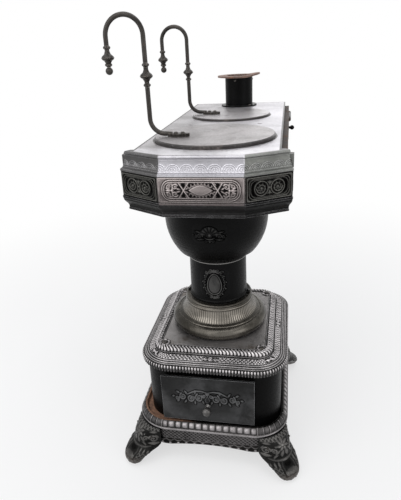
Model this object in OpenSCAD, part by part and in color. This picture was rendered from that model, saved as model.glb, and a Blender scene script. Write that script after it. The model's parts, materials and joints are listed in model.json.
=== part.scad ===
// Antique cast-iron column stove: a footed ash box carries a short column and a round
// fire pot, and the pot carries a long hob box with two lidded cooking holes and a flue
// stub at its far end. X is the width, the front faces -Y, the flue is towards +Y, +Z is up.

/* [Hob box] */
// Height of the hob plate's top above the floor
plate_top = 780; // [720:1:860]
// Thickness of the hob plate
plate_t = 9; // [7:0.5:12]
// Half the width of the hob plate behind the fascia
plate_half_w = 155; // [146:1:175]
// Distance from the pot axis back to the hob plate's rear edge
plate_rear = 650; // [645:1:800]
// Height of the hob box, from its underside to the plate's top
box_h = 127; // [115:1:150]
// Thickness of the box's side, rear and floor castings
box_wall = 5; // [4:0.5:7]
// How far the side walls' top ledges stand out past the plate
side_ledge = 13; // [8:1:18]
// How far the side ledges lie below the plate's top
ledge_drop = 12; // [11:1:16]

/* [Fascia] */
// How far the lip's far ends stand out past the hob plate's sides
lip_overhang = 16.5; // [14:0.5:24]
// Half the width of the fascia's front facet
lip_front_half = 83.5; // [70:0.5:100]
// Distance from the pot axis forward to the lip's front
lip_front = 180.5; // [178:0.5:200]
// Distance from the pot axis forward to the lip's far ends
lip_end = 130; // [124:0.5:140]
// Width of the lip's top edge
lip_w = 6; // [4:0.5:8]
// Thickness of the fascia casting
fascia_t = 6; // [4:0.5:8]
// How far the fascia's panel stands out past the lip
panel_out = 17; // [12:0.5:22]
// Gap between the hob plate's edge and the lip
plate_gap = 0.5; // [0.3:0.1:1.5]

/* [Lids and handles] */
// Radius of the front lid
front_lid_r = 139.5; // [130:0.5:142]
// Distance from the pot axis back to the front lid's centre
front_lid_y = 14; // [5:1:20]
// Thickness of the front lid's disc
front_lid_t = 8; // [6:0.5:10]
// Radius of the rear lid
rear_lid_r = 113; // [100:0.5:118]
// Distance from the pot axis back to the rear lid's centre
rear_lid_y = 352; // [340:1:370]
// Thickness of the rear lid's disc
rear_lid_t = 6; // [5:0.5:10]
// Width of the seat on which a lid rests round its hole
lid_seat = 9; // [6:0.5:14]
// Gap between a lid's locating ring and its hole
lid_gap = 2; // [1:0.5:4]
// Diameter of the swan-neck handles' rod
rod_d = 10.5; // [8:0.5:13]
// Radius of the turned knops on the handles
knop_r = 14.5; // [11:0.5:17]

/* [Flue] */
// Distance from the flue's centre back to the hob plate's rear edge
flue_back = 59; // [56:1:80]
// Outer radius of the flue stub
flue_r = 45.5; // [40:0.5:55]
// Wall of the flue stub
flue_wall = 2.5; // [1.5:0.5:4]
// Height of the flue stub above the hob plate
flue_h = 92; // [70:1:120]
// Radius of the bent flange on the flue stub's top
flange_r = 70; // [64:0.5:80]
// Thickness of that flange
flange_t = 5; // [3:0.5:7]

/* [Fire pot and column] */
// Outer radius of the fire pot at its rim
pot_r = 126; // [118:0.5:134]
// Wall of the fire pot
pot_wall = 8; // [6:0.5:11]
// Height of the fire pot's lower lip above the floor
pot_foot = 500; // [480:1:515]
// Outer radius of the column
column_r = 72.5; // [66:0.5:78]
// Wall of the column
column_wall = 7; // [5:0.5:9]
// Height at which the column stands on its ring
column_foot = 384; // [372:1:396]
// Outer radius of the ring under the column
ring_r = 123; // [118:0.5:134]

/* [Base] */
// Height of the base plate's raised middle above the floor
base_top_z = 304; // [300:1:312]
// Half the width of the base plate's outer rim
rim_half_x = 180; // [176:1:190]
// Half the depth of the base plate's outer rim
rim_half_y = 196; // [190:1:210]
// Corner radius of the outer rim
rim_r = 77; // [60:1:90]
// Width of the moulded border round the raised middle
border_w = 36; // [30:1:44]
// Underside of the base plate's rim above the floor
rim_z = 262; // [256:1:268]
// How far the ash box's wall lies inside the rim
wall_inset = 12; // [12:0.5:15]
// Thickness of the ash box's wall
ash_wall = 5; // [4:0.5:7]

/* [Ash drawer] */
// Width of the drawer's front plate
drawer_w = 226; // [200:1:236]
// Height of the drawer's front plate
drawer_h = 129; // [118:1:131]
// Underside of the drawer's front plate above the floor
drawer_z = 125; // [122:1:128]
// Thickness of the drawer's front plate
drawer_t = 5; // [4:0.5:7]
// How far the drawer stands open
drawer_ajar = 13; // [2:1:25]
// How far the drawer lies to the left of the pot axis
drawer_shift = 6; // [0:0.5:10]
// Depth of the ash tray
tray_depth = 320; // [280:1:340]
// Sheet thickness of the ash tray
tray_t = 2; // [1:0.25:3]
// Gap between the tray and its opening
tray_gap = 3; // [2:0.5:6]

/* [Skirt and legs] */
// Width of the ledge at the ash box's sides, inside the tiled moulding
side_shelf = 7; // [6:0.5:14]
// Width of the ledge in front of and behind the ash box, inside the tiled moulding
end_shelf = 16; // [8:0.5:24]
// Corner radius of the skirt's rim
skirt_r = 84; // [70:1:95]
// How far the skirt lies to the left of the ash box
skirt_shift = 5; // [0:0.5:6]
// Height of the ledge on which the ash box stands
ledge_z = 110; // [100:1:116]
// Width of the tiled moulding round the ledge
tile_w = 15; // [12:0.5:16]
// How far each foot stands out sideways past the skirt's rim
foot_out_x = 8; // [-6:1:14]
// How far each foot stands out to the front or rear past the skirt's rim
foot_out_y = 14; // [8:1:28]
// Radius of the scrolled toe of a foot
toe_r = 17; // [14:0.5:20]

/* [Hidden] */
$fn = 64;
EPS = 0.01;
TOUCH = 0.3;

IRON = [0.20, 0.20, 0.21];
SILVER = [0.62, 0.60, 0.63];
BLACK = [0.10, 0.10, 0.10];
RUST = [0.45, 0.28, 0.20];
BRONZE = [0.36, 0.34, 0.29];

// Levels and outline of the hob box
lip_half_w = plate_half_w + lip_overhang;
box_bottom = plate_top - box_h;
floor_top = box_bottom + box_wall;
plate_under = plate_top - plate_t;
wall_out = plate_half_w - 3;
wall_in = wall_out - box_wall;
wall_front = -lip_end + 12;
rear_plate_y = plate_rear - 10;
facet_turn = atan2(lip_front - lip_end, lip_half_w - lip_front_half);
facet_len = norm([lip_half_w - lip_front_half, lip_front - lip_end]);
mitre = facet_turn / 2;
front_hole_r = front_lid_r - lid_seat;
rear_hole_r = rear_lid_r - lid_seat;
screw_y = (front_lid_y + front_lid_r + rear_lid_y - rear_lid_r) / 2;
screw_xs = [-93, 0, 93];
screw_r = 3;

// Swan-neck handles: [x of the standing limb, y of the plane, seat height, arch radius,
// rise of the arch's centre above the lid, heights of the knops above the lid]
front_handle = [-143, -16, plate_top + front_lid_t, 42, 214, 132, 172];
rear_handle = [-122, 345, plate_top + rear_lid_t, 36, 204, 119, 155];
rivet_r = 3;
foot_near = 58;
foot_far = 74;

// Flue
flue_y = plate_rear - flue_back;
collar_t = 4;
stub_bottom = plate_top + collar_t;
stub_top = plate_top + flue_h;
flue_hole_r = flue_r - flue_wall - 2;
collar_r = flue_r + 14;
sleeve_h = 16;
outlet_r = flue_r - flue_wall - 2.5;
bend_x = 30;
bend_angle = 9;

// Fire pot
pot_rim = box_bottom;
pot_belly = pot_rim - 53;
pot_step = pot_foot + 14;
pot_lip_r = column_r + 20.5;
pot_step_r = pot_lip_r + 4;
pot_drop = (pot_belly - pot_step) / sqrt(1 - pow(pot_step_r / pot_r, 2));
pot_lug_r = pot_r - pot_wall - 10;
pot_lug_angles = [45, 135, 225, 315];
grate_z = pot_step;
grate_r = column_r + 1.5;

// Base
raised_half_x = rim_half_x - border_w;
raised_half_y = rim_half_y - border_w;
wall_x = rim_half_x - wall_inset;
wall_y = rim_half_y - wall_inset;
wall_r = rim_r - wall_inset;
drawer_face = -(wall_y + drawer_ajar + drawer_t);
open_w = drawer_w - 26;
open_z0 = drawer_z + 2;
open_h = drawer_h - 10;
tray_w = open_w - 2 * tray_gap;
runner_z = ledge_z + ash_wall;
tray_z = open_z0 + 3;
tray_h = open_h - 24;
knob_z = drawer_z + 46;
knob_r = 11;
tie_r = 4;

// Skirt and legs: the corner arc's centre, and the direction in which a leg points
skirt_half_x = wall_x + side_shelf + tile_w;
skirt_half_y = wall_y + end_shelf + tile_w;
foot_x = skirt_half_x + foot_out_x;
foot_y = skirt_half_y + foot_out_y;
corner_x = skirt_half_x - skirt_r;
corner_y = skirt_half_y - skirt_r;
leg_turn = atan2(foot_y - corner_y, foot_x - corner_x);
leg_reach = norm([foot_x - corner_x, foot_y - corner_y]);
skirt_low = 50;
toe_half = 29;
knee_half = 46;
sole_half = 17;
sole_cut = 2;
toe_x = leg_reach + toe_r - toe_half;
apron_r = skirt_r + 7.3;
apron_turn = 33;
leg_top = ledge_z - 14;

// The origin is on the floor under the middle of the whole stove
foot_reach_x = corner_x + toe_x * cos(leg_turn) + toe_half;
foot_reach_y = corner_y + toe_x * sin(leg_turn) + toe_half;
left_end = min(front_handle[0] - 2 * front_handle[3] - knop_r, -foot_reach_x - skirt_shift);
right_end = max(foot_reach_x - skirt_shift, lip_half_w + 9, plate_half_w + side_ledge + 19);
rear_end = max(plate_rear, flue_y + flange_r, foot_reach_y);
front_end = -max(foot_reach_y, lip_front + panel_out + 2);
origin_x = -(left_end + right_end) / 2;
origin_y = -(front_end + rear_end) / 2;
module placed() translate([origin_x, origin_y, 0]) children();

// ---- Shared shapes ----

// A rectangle with round corners, hx and hy being its half sizes
module rounded_plan(hx, hy, r) {
    square([2 * hx, 2 * (hy - r)], center = true);
    square([2 * (hx - r), 2 * hy], center = true);
    for (sx = [-1, 1], sy = [-1, 1])
        translate([sx * (hx - r), sy * (hy - r)]) circle(r);
}

// Sweeps a section round a rounded rectangle. The section's x is the distance out from
// the corner arc's centre, and its y is the height.
module swept_frame(hx, hy, r) {
    cx = hx - r;
    cy = hy - r;
    for (k = [0 : 3])
        translate([[1, -1, -1, 1][k] * cx, [1, 1, -1, -1][k] * cy, 0])
            rotate([0, 0, 90 * k]) rotate_extrude(angle = 90) children();
    for (turn = [0, 180]) rotate([0, 0, turn]) {
        translate([cx, cy, 0]) rotate([90, 0, 0])
            linear_extrude(height = 2 * cy) children();
        translate([-cx, cy, 0]) rotate([90, 0, 90])
            linear_extrude(height = 2 * cx) children();
    }
}

// A round-headed bolt along +Z, its head's underside at the origin, its shank below
module bolt(r, length, head_r, head_h) {
    translate([0, 0, -length]) cylinder(r = r, h = length + EPS);
    cylinder(r = head_r, h = head_h * 0.5);
    translate([0, 0, head_h * 0.5]) cylinder(r1 = head_r, r2 = head_r * 0.6, h = head_h * 0.5);
}

// A six-sided nut with its bore, standing on the origin
module nut(r, across, h) {
    difference() {
        cylinder(r = across / 2, h = h, $fn = 6);
        translate([0, 0, -1]) cylinder(r = r, h = h + 2);
    }
}

// ---- Hob plate and lids ----

// Outline of the hob plate, which lies inside the fascia's lip
module plate_plan() {
    in_by = lip_w + plate_gap;
    end_x = lip_half_w - in_by * sin(facet_turn);
    end_y = -lip_end + in_by * cos(facet_turn);
    front_x = lip_front_half - in_by * tan(mitre);
    polygon([[plate_half_w, plate_rear], [plate_half_w, wall_front],
             [end_x - 6, wall_front], [end_x, end_y],
             [front_x, -lip_front + in_by], [-front_x, -lip_front + in_by],
             [-end_x, end_y], [-end_x + 6, wall_front],
             [-plate_half_w, wall_front], [-plate_half_w, plate_rear]]);
}

module hob_plate() color(SILVER) placed() difference() {
    translate([0, 0, plate_under]) linear_extrude(height = plate_t) plate_plan();
    translate([0, front_lid_y, plate_under - 1]) cylinder(r = front_hole_r, h = plate_t + 2, $fn = 96);
    translate([0, rear_lid_y, plate_under - 1]) cylinder(r = rear_hole_r, h = plate_t + 2, $fn = 96);
    translate([0, flue_y, plate_under - 1]) cylinder(r = flue_hole_r, h = plate_t + 2);
    for (x = screw_xs) translate([x, screw_y, plate_under - 1]) {
        cylinder(r = screw_r + 0.3, h = plate_t + 2);
        translate([0, 0, plate_t - 3]) cylinder(r1 = screw_r + 0.3, r2 = screw_r + 5.3, h = 5);
    }
    for (a = [45 : 90 : 315]) translate([0, flue_y, plate_under - 1])
        rotate([0, 0, a]) translate([collar_r - 6, 0, 0]) cylinder(r = 2.3, h = plate_t + 2);
}

module plate_screws() color(IRON) placed() for (x = screw_xs)
    translate([x, screw_y, 0]) {
        translate([0, 0, plate_under - 12]) cylinder(r = screw_r, h = plate_t + 11);
        difference() {
            translate([0, 0, plate_top - 3.7]) cylinder(r1 = screw_r, r2 = screw_r + 3.2, h = 3.2);
            translate([0, 0, plate_top]) cube([14, 1.4, 3], center = true);
        }
    }

module cross_bar() color(IRON) placed() difference() {
    translate([-wall_in + TOUCH, screw_y - 11, plate_under - 14])
        cube([2 * (wall_in - TOUCH), 22, 14]);
    translate([-wall_in - 1, screw_y - 5, plate_under - 15]) cube([2 * wall_in + 2, 10, 4]);
    for (x = screw_xs) translate([x, screw_y, plate_under - 16]) cylinder(r = screw_r + 0.05, h = 18);
}

// A lid: a disc that rests round its hole, and a ring below that keeps it in place
module lid(r, hole_r, t) difference() {
    union() {
        cylinder(r = r, h = t - 2, $fn = 96);
        translate([0, 0, t - 2]) cylinder(r1 = r, r2 = r - 2, h = 2, $fn = 96);
        translate([0, 0, -plate_t]) difference() {
            cylinder(r = hole_r - lid_gap, h = plate_t + EPS, $fn = 96);
            translate([0, 0, -1]) cylinder(r = hole_r - lid_gap - 5, h = plate_t + 1, $fn = 96);
        }
    }
    children();
}

// Holes for a handle's two rivets, in the lid's own place
module rivet_holes(handle, lid_y, t) for (d = [foot_near, foot_far])
    translate([handle[0] + d, handle[1] - lid_y, -1]) cylinder(r = rivet_r, h = t + 2);

module front_lid() color(SILVER) placed() translate([0, front_lid_y, plate_top])
    lid(front_lid_r, front_hole_r, front_lid_t) rivet_holes(front_handle, front_lid_y, front_lid_t);

module rear_lid() color(SILVER) placed() translate([0, rear_lid_y, plate_top])
    lid(rear_lid_r, rear_hole_r, rear_lid_t) rivet_holes(rear_handle, rear_lid_y, rear_lid_t);

// Half outline of a turned knop between two collars, centred on z = 0
module knop_shape(above, below) rotate_extrude() union() {
    translate([0, -6]) polygon([[0, -6], [rod_d * 0.5, -6], [knop_r * 0.6, 0], [knop_r - 2, 2.5],
        [knop_r, 6], [knop_r - 2, 9.5], [knop_r * 0.5, 14], [rod_d * 0.5, 20], [0, 20]]);
    for (level = [above, -below]) translate([0, level])
        polygon([[0, -4], [rod_d * 0.5, -4], [8, -1.5], [8, 1.5], [rod_d * 0.5, 4], [0, 4]]);
}

// A swan-neck handle: a leaf foot, a bend, a standing limb, an arch and a hanging pendant
module swan_neck(h) {
    x = h[0];
    z0 = h[2];
    bend = 34;
    arch_z = z0 + h[4];
    low = z0 + rod_d / 2 + 1.5;
    translate([0, h[1], 0]) {
        translate([x + bend, 0, low]) rotate([0, 90, 0])
            cylinder(r1 = rod_d / 2, r2 = rod_d / 2 - 1, h = foot_near - bend - 8);
        translate([x + bend, 0, low + bend]) rotate([90, 180, 0])
            rotate_extrude(angle = 90) translate([bend, 0]) circle(rod_d / 2, $fn = 32);
        translate([x, 0, low + bend]) cylinder(r = rod_d / 2, h = arch_z - low - bend);
        translate([x - h[3], 0, arch_z]) rotate([90, 0, 0])
            rotate_extrude(angle = 180) translate([h[3], 0]) circle(rod_d / 2, $fn = 32);
        translate([x - 2 * h[3], 0, z0 + h[6]]) cylinder(r = rod_d / 2, h = arch_z - z0 - h[6]);
        translate([x, 0, z0 + h[5]]) knop_shape(23, 19);
        translate([x - 2 * h[3], 0, z0 + h[6]]) knop_shape(21, 14);
        translate([x - 2 * h[3], 0, z0 + h[6] - 27]) {
            cylinder(r = 4, h = 22);
            sphere(r = 8.3);
        }
        translate([x, 0, z0 + TOUCH]) difference() {
            linear_extrude(height = 7) leaf_plan();
            for (d = [foot_near, foot_far]) translate([d, 0, -1]) cylinder(r = rivet_r + 0.05, h = 9);
        }
    }
}

// Lobed outline of the leaf foot, measured from the standing limb
module leaf_plan() {
    for (p = [[foot_near - 12, 7], [foot_near, 11.5], [foot_near + 9, 12], [foot_far, 9],
              [foot_far + 10, 6]])
        translate([p[0], 0]) circle(p[1], $fn = 32);
    translate([foot_near - 12, -5]) square([foot_far - foot_near + 22, 10]);
}

module front_lid_handle() color(IRON) placed() swan_neck(front_handle);
module rear_lid_handle() color(IRON) placed() swan_neck(rear_handle);

module handle_rivets() color(IRON) placed()
    for (p = [[front_handle, front_lid_t], [rear_handle, rear_lid_t]], d = [foot_near, foot_far])
        translate([p[0][0] + d, p[0][1], p[0][2] + TOUCH + 7])
            bolt(rivet_r - 0.05, p[1] + 7 + TOUCH, 5, 3.4);

// ---- Hob box ----

// Outer outline of the fascia's section: [distance out from the lip, depth below the top]
cavetto = [for (a = [0 : 15 : 90]) [1 + (panel_out - 3) * (1 - cos(a)), 8 + 25 * sin(a)]];
ogee = [for (k = [0 : 6]) [3 + (panel_out - 3) * (0.5 + 0.5 * cos(30 * k)), box_h - 28 + 3.5 * k]];
fascia_face = concat([[0, 0], [2.5, 1.5], [3, 4], [1, 6.5]], cavetto,
    [[panel_out + 1, 34], [panel_out + 1, 38], [panel_out - 1, 39.5], [panel_out - 1, box_h - 36],
     [panel_out + 1.5, box_h - 34], [panel_out + 1.5, box_h - 30]], ogee,
    [[3, box_h - 5], [4.5, box_h - 4], [4.5, box_h]]);

// The fascia's section, with the ledge that carries the hob plate
module fascia_section() {
    back = [for (k = [len(fascia_face) - 1 : -1 : 0]) [fascia_face[k][0] - fascia_t, fascia_face[k][1]]];
    translate([0, plate_top]) scale([1, -1]) polygon(concat(fascia_face, back));
    translate([-lip_w - 10, plate_under - 6]) square([12, 6]);
    translate([-fascia_t - 4, plate_under - 12]) square([6, 7]);
}

// One facet of the fascia, starting at its far end and turned to face outwards
module fascia_run(start, turn, length) translate([start[0], start[1], 0])
    rotate([0, 0, turn]) rotate([90, 0, 0]) linear_extrude(height = length) fascia_section();

// A wedge of space on one side of the mitre at a front corner of the lip
module mitre_wedge(side, keep_front) {
    corner = [side * lip_front_half, -lip_front];
    in_pt = corner - 60 * [side * sin(mitre), -cos(mitre)];
    out_pt = corner + 60 * [side * sin(mitre), -cos(mitre)];
    away = keep_front ? [-side * 400, 0] : [side * 300, 150];
    translate([0, 0, box_bottom - 5]) linear_extrude(height = box_h + 10)
        polygon([in_pt, out_pt, out_pt + away, in_pt + away]);
}

// Ears at the fascia's ends, and the matching ears on the side walls
ear_levels = [[plate_top - 23, 14], [plate_top - 76, 10]];
ear_x = lip_half_w + 2;
module ears(side, y, t) for (e = ear_levels) difference() {
    translate([side > 0 ? wall_out - EPS : -ear_x - 7, y, e[0] - e[1]])
        cube([ear_x + 7 - wall_out + EPS, t, 2 * e[1]]);
    translate([side * ear_x, y - 1, e[0]]) rotate([-90, 0, 0]) cylinder(r = 3.05, h = t + 2);
}

module front_fascia() color(IRON) placed() {
    over = 30;
    difference() {
        fascia_facets(over);
        translate([-300, wall_front - 1, box_bottom - 1]) cube([600, 300, box_h + 2]);
    }
    for (side = [-1, 1]) {
        fascia_web(side, floor_top + 1, plate_under, 0);
        fascia_web(side, plate_top - 88, plate_top - 42, panel_out - 9);
        ears(side, wall_front - 7, 6);
    }
}

// Closes the space between a facet's far end and the side wall
module fascia_web(side, z0, z1, reach) {
    out = [sin(facet_turn), -cos(facet_turn)];
    along = [-cos(facet_turn), -sin(facet_turn)];
    tip = [lip_half_w, -lip_end] + (reach - 2) * out;
    translate([0, 0, z0]) linear_extrude(height = z1 - z0) scale([side, 1])
        polygon([[wall_out - 4, wall_front - 7], [wall_out - 4, wall_front - 1],
                 [lip_half_w - 4, wall_front - 1], tip, tip + fascia_t * along]);
}

// The fascia's three facets, mitred at the front corners
module fascia_facets(over) {
    intersection() {
        fascia_run([lip_front_half + over, -lip_front], -90, 2 * (lip_front_half + over));
        mitre_wedge(1, true);
        mitre_wedge(-1, true);
    }
    for (side = [-1, 1]) intersection() {
        if (side > 0)
            fascia_run([lip_half_w, -lip_end], facet_turn - 90, facet_len + over);
        else
            translate([-lip_half_w, -lip_end, 0]) rotate([0, 0, -90 - facet_turn])
                rotate([90, 0, 0]) translate([0, 0, -facet_len - over])
                    linear_extrude(height = facet_len + over) fascia_section();
        mitre_wedge(side, false);
    }
}

// A side wall with its top ledge, its bolting ears and its rear flange
module side_wall(side) {
    x0 = side > 0 ? wall_in : -wall_out;
    difference() {
        union() {
            translate([x0, wall_front, floor_top])
                cube([box_wall, rear_plate_y - wall_front, plate_under - floor_top]);
            translate([side > 0 ? wall_out - EPS : -plate_half_w - side_ledge, wall_front,
                       plate_top - ledge_drop - 6])
                cube([side_ledge + 3 + EPS, rear_plate_y - wall_front, 6]);
            translate([side > 0 ? wall_in - 16 : -wall_in - EPS, rear_plate_y - 5, floor_top])
                cube([16 + EPS, 5, plate_under - floor_top]);
            ears(side, wall_front, 5);
        }
        for (z = rear_bolt_zs) translate([side * rear_bolt_x, rear_plate_y - 6, z])
            rotate([-90, 0, 0]) cylinder(r = 3.05, h = 8);
    }
}
rear_bolt_x = wall_in - 9;
rear_bolt_zs = [floor_top + 22, plate_under - 22];

module left_side_wall() color(RUST) placed() side_wall(-1);

// Soot door: a framed opening in the right wall under a top-hung flap
door_y = 410;
door_w = 150;
door_h = 48;
door_t = 4;
door_top = plate_top - 36;
frame_t = 5;
frame_out = plate_half_w + side_ledge - 3;
hinge_x = frame_out + TOUCH + door_t;
hinge_z = plate_top - ledge_drop - 12;
hinge_r = 5.5;
pin_r = 2.5;
knuckle = 18;

module right_side_wall() color(RUST) placed() difference() {
    union() {
        side_wall(1);
        translate([wall_out - EPS, door_y + 3, door_top - door_h + 3])
            cube([frame_out - wall_out + EPS, door_w - 6, door_h - 6]);
        for (y = [door_y, door_y + door_w - knuckle]) difference() {
            union() {
                translate([wall_out - EPS, y, hinge_z - 4]) cube([hinge_x - wall_out, knuckle, 8]);
                translate([hinge_x, y, hinge_z]) rotate([-90, 0, 0]) cylinder(r = hinge_r, h = knuckle);
            }
            translate([hinge_x, y - 1, hinge_z]) rotate([-90, 0, 0])
                cylinder(r = pin_r + 0.02, h = knuckle + 2);
        }
    }
    translate([wall_in - 1, door_y + 3 + frame_t, door_top - door_h + 3 + frame_t])
        cube([frame_out - wall_in + 2, door_w - 6 - 2 * frame_t, door_h - 6 - 2 * frame_t]);
}

module soot_door() color(BLACK) placed() {
    arm_y = door_y + knuckle + 6;
    arm_w = door_w - 2 * knuckle - 12;
    difference() {
        union() {
            translate([frame_out + TOUCH, door_y, door_top - door_h]) cube([door_t, door_w, door_h]);
            translate([hinge_x, arm_y, hinge_z]) rotate([-90, 0, 0]) cylinder(r = hinge_r, h = arm_w);
            translate([frame_out + TOUCH, arm_y, door_top - 2])
                cube([door_t, arm_w, hinge_z - door_top + 2]);
        }
        translate([hinge_x, door_y, hinge_z]) rotate([-90, 0, 0]) cylinder(r = pin_r + 0.05, h = door_w);
    }
    translate([hinge_x - EPS, door_y + door_w / 2, door_top - door_h / 2]) rotate([0, 90, 0]) {
        cylinder(r = 4, h = 8);
        translate([0, 0, 10]) sphere(r = 7);
    }
}

module soot_door_pin() color(IRON) placed()
    translate([hinge_x, door_y - 2, hinge_z]) rotate([-90, 0, 0]) {
        cylinder(r = pin_r, h = door_w + 4);
        translate([0, 0, -2]) cylinder(r = pin_r + 1.5, h = 2);
        translate([0, 0, door_w + 4]) cylinder(r = pin_r + 1.5, h = 2);
    }

module rear_end_plate() color(IRON) placed() difference() {
    translate([-wall_out, rear_plate_y, floor_top])
        cube([2 * wall_out, box_wall, plate_under - floor_top]);
    for (side = [-1, 1], z = rear_bolt_zs)
        translate([side * rear_bolt_x, rear_plate_y - 1, z]) rotate([-90, 0, 0]) cylinder(r = 3.05, h = 8);
}

module fascia_bolts() color(IRON) placed() for (side = [-1, 1], e = ear_levels)
    translate([side * ear_x, wall_front + 5, e[0]]) rotate([-90, 0, 0]) bolt(3, 13, 6, 5);

module rear_plate_bolts() color(IRON) placed() for (side = [-1, 1], z = rear_bolt_zs)
    translate([side * rear_bolt_x, rear_plate_y + box_wall, z]) rotate([-90, 0, 0]) bolt(3, 16, 6, 4.5);

// The floor of the hob box, open over the fire pot, with a ring that locates it in the pot
module box_floor() color(BLACK) placed() difference() {
    union() {
        translate([0, 0, box_bottom]) linear_extrude(height = box_wall) floor_plan();
        translate([0, 0, box_bottom - 6])
            cylinder(r = pot_r - pot_wall - 1, h = 6 + EPS);
    }
    translate([0, 0, box_bottom - 7]) cylinder(r = pot_r - pot_wall - 25, h = box_wall + 9);
    for (a = pot_lug_angles) rotate([0, 0, a]) translate([pot_lug_r, 0, box_bottom - 7])
        cylinder(r = 4.05, h = box_wall + 9);
}

module floor_plan() {
    in_by = fascia_t - 3 + TOUCH;
    front_x = lip_front_half - in_by * tan(mitre);
    side_y = -lip_front + in_by + (wall_out - front_x) * tan(facet_turn);
    polygon([[wall_out, rear_plate_y + box_wall], [wall_out, side_y],
             [front_x, -lip_front + in_by], [-front_x, -lip_front + in_by],
             [-wall_out, side_y], [-wall_out, rear_plate_y + box_wall]]);
}

// ---- Flue ----

module flue_collar() color(BLACK) placed() translate([0, flue_y, 0]) difference() {
    union() {
        translate([0, 0, plate_top]) cylinder(r = collar_r, h = collar_t);
        translate([0, 0, plate_under]) cylinder(r = flue_hole_r - 0.5, h = plate_t + EPS);
        translate([0, 0, stub_bottom - EPS]) cylinder(r = flue_r - flue_wall - TOUCH, h = 14);
    }
    translate([0, 0, plate_under - 1]) cylinder(r = flue_hole_r - 5, h = plate_t + 24);
    for (a = [45 : 90 : 315]) rotate([0, 0, a]) translate([collar_r - 6, 0, plate_top - 1])
        cylinder(r = 2.3, h = collar_t + 2);
}

module flue_collar_screws() color(IRON) placed() for (a = [45 : 90 : 315])
    translate([0, flue_y, stub_bottom]) rotate([0, 0, a]) translate([collar_r - 6, 0, 0])
        bolt(2.25, 12, 4, 3);

module flue_stub() color(BLACK) placed() translate([0, flue_y, 0]) difference() {
    translate([0, 0, stub_bottom]) cylinder(r = flue_r, h = stub_top - stub_bottom);
    translate([0, 0, stub_bottom - 1]) cylinder(r = flue_r - flue_wall, h = flue_h + 2);
    for (a = flue_rivet_angles) rotate([0, 0, a]) translate([0, 0, stub_top - 9]) rotate([0, 90, 0])
        cylinder(r = 2.05, h = flue_r + 2);
}
flue_rivet_angles = [-100, 20, 140];

// A ring whose right-hand part is bent upwards, on a short sleeve inside the stub
module flue_flange() color(RUST) placed() translate([0, flue_y, stub_top]) difference() {
    union() {
        intersection() {
            translate([0, 0, -1]) cylinder(r = flange_r, h = 3 * flange_t + flange_r * sin(bend_angle));
            rotate([90, 0, 0]) translate([0, 0, -2 * flange_r]) linear_extrude(height = 4 * flange_r)
                bent_strip();
        }
        translate([0, 0, -sleeve_h]) cylinder(r = flue_r - flue_wall - 0.1, h = sleeve_h + flange_t / 2);
    }
    translate([0, 0, -sleeve_h - 1]) cylinder(r = outlet_r, h = 60);
    for (a = flue_rivet_angles) rotate([0, 0, a]) translate([0, 0, -9]) rotate([0, 90, 0])
        cylinder(r = 2.05, h = flue_r + 2);
}

// Side outline of the bent ring
module bent_strip() {
    rise = tan(bend_angle) * flange_r;
    polygon([[-2 * flange_r, 0], [bend_x, 0], [bend_x + flange_r, rise],
             [bend_x + flange_r, rise + flange_t], [bend_x - 1, flange_t], [-2 * flange_r, flange_t]]);
}

module flue_rivets() color(IRON) placed() for (a = flue_rivet_angles)
    translate([0, flue_y, stub_top - 9]) rotate([0, 0, a]) translate([flue_r, 0, 0]) rotate([0, 90, 0])
        bolt(2, flue_r - outlet_r - TOUCH, 3.6, 2.5);

// ---- Fire pot, grate and column ----

// Radius of the pot's outside at height z, below its straight rim
function pot_out(z) = pot_r * sqrt(1 - pow((pot_belly - z) / pot_drop, 2));
pot_levels = [for (k = [0 : 9]) pot_step + (pot_belly - pot_step) * k / 9];

module fire_pot() color(BLACK) placed() difference() {
    union() {
        rotate_extrude($fn = 96) polygon(concat(
            [[column_r - column_wall - 1, pot_foot], [column_r + 5, pot_foot], [pot_lip_r, pot_foot + 12],
             [pot_lip_r, pot_step - 1]],
            [for (z = pot_levels) [pot_out(z), z]],
            [[pot_r, pot_rim], [pot_r - pot_wall, pot_rim]],
            [for (k = [9 : -1 : 0])
                [pot_out(pot_levels[k]) - pot_wall - 1, pot_levels[k] + (k == 0 ? 0 : 2)]],
            [[column_r - column_wall - 1, grate_z]]));
        intersection() {
            for (a = pot_lug_angles) rotate([0, 0, a])
                translate([pot_lug_r, 0, pot_rim - 26]) cylinder(r = 11, h = 26 - 6.3);
            translate([0, 0, pot_rim - 27]) cylinder(r = pot_r - 1, h = 28);
        }
    }
    for (a = pot_lug_angles) rotate([0, 0, a]) translate([pot_lug_r, 0, pot_rim - 27])
        cylinder(r = 4.05, h = 28);
}

module pot_bolts() color(IRON) placed() for (a = pot_lug_angles) rotate([0, 0, a])
    translate([pot_lug_r, 0, floor_top]) bolt(4, 30, 7.5, 5);

module fire_grate() color(RUST) placed() translate([0, 0, grate_z + TOUCH]) difference() {
    cylinder(r = grate_r, h = 9);
    intersection() {
        translate([0, 0, -1]) cylinder(r = grate_r - 9, h = 11);
        for (k = [-3 : 3]) translate([18 * k - 5, -grate_r, -1]) cube([10, 2 * grate_r, 11]);
    }
}

module column() color(BLACK) placed() difference() {
    union() {
        rotate_extrude($fn = 96) polygon([[column_r - column_wall, column_foot],
            [column_r + 1.5, column_foot], [column_r + 1.5, column_foot + 5], [column_r, column_foot + 7],
            [column_r - 1, pot_foot - 8], [column_r + 2, pot_foot - 6], [column_r + 2, pot_foot - 1],
            [column_r + 1, pot_foot], [column_r - column_wall, pot_foot]]);
        for (side = [-1, 1]) translate([side * (column_r + 3), 0, column_foot]) cylinder(r = 7, h = 4);
    }
    translate([0, 0, column_foot - 1]) cylinder(r = column_r - column_wall - EPS, h = 8);
    for (side = [-1, 1]) translate([side * (column_r + 5), 0, column_foot - 1]) cylinder(r = 2.55, h = 6);
}

module column_screws() color(SILVER) placed() for (side = [-1, 1])
    translate([side * (column_r + 5), 0, column_foot + 4]) bolt(2.5, 14, 3.2, 3);

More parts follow.
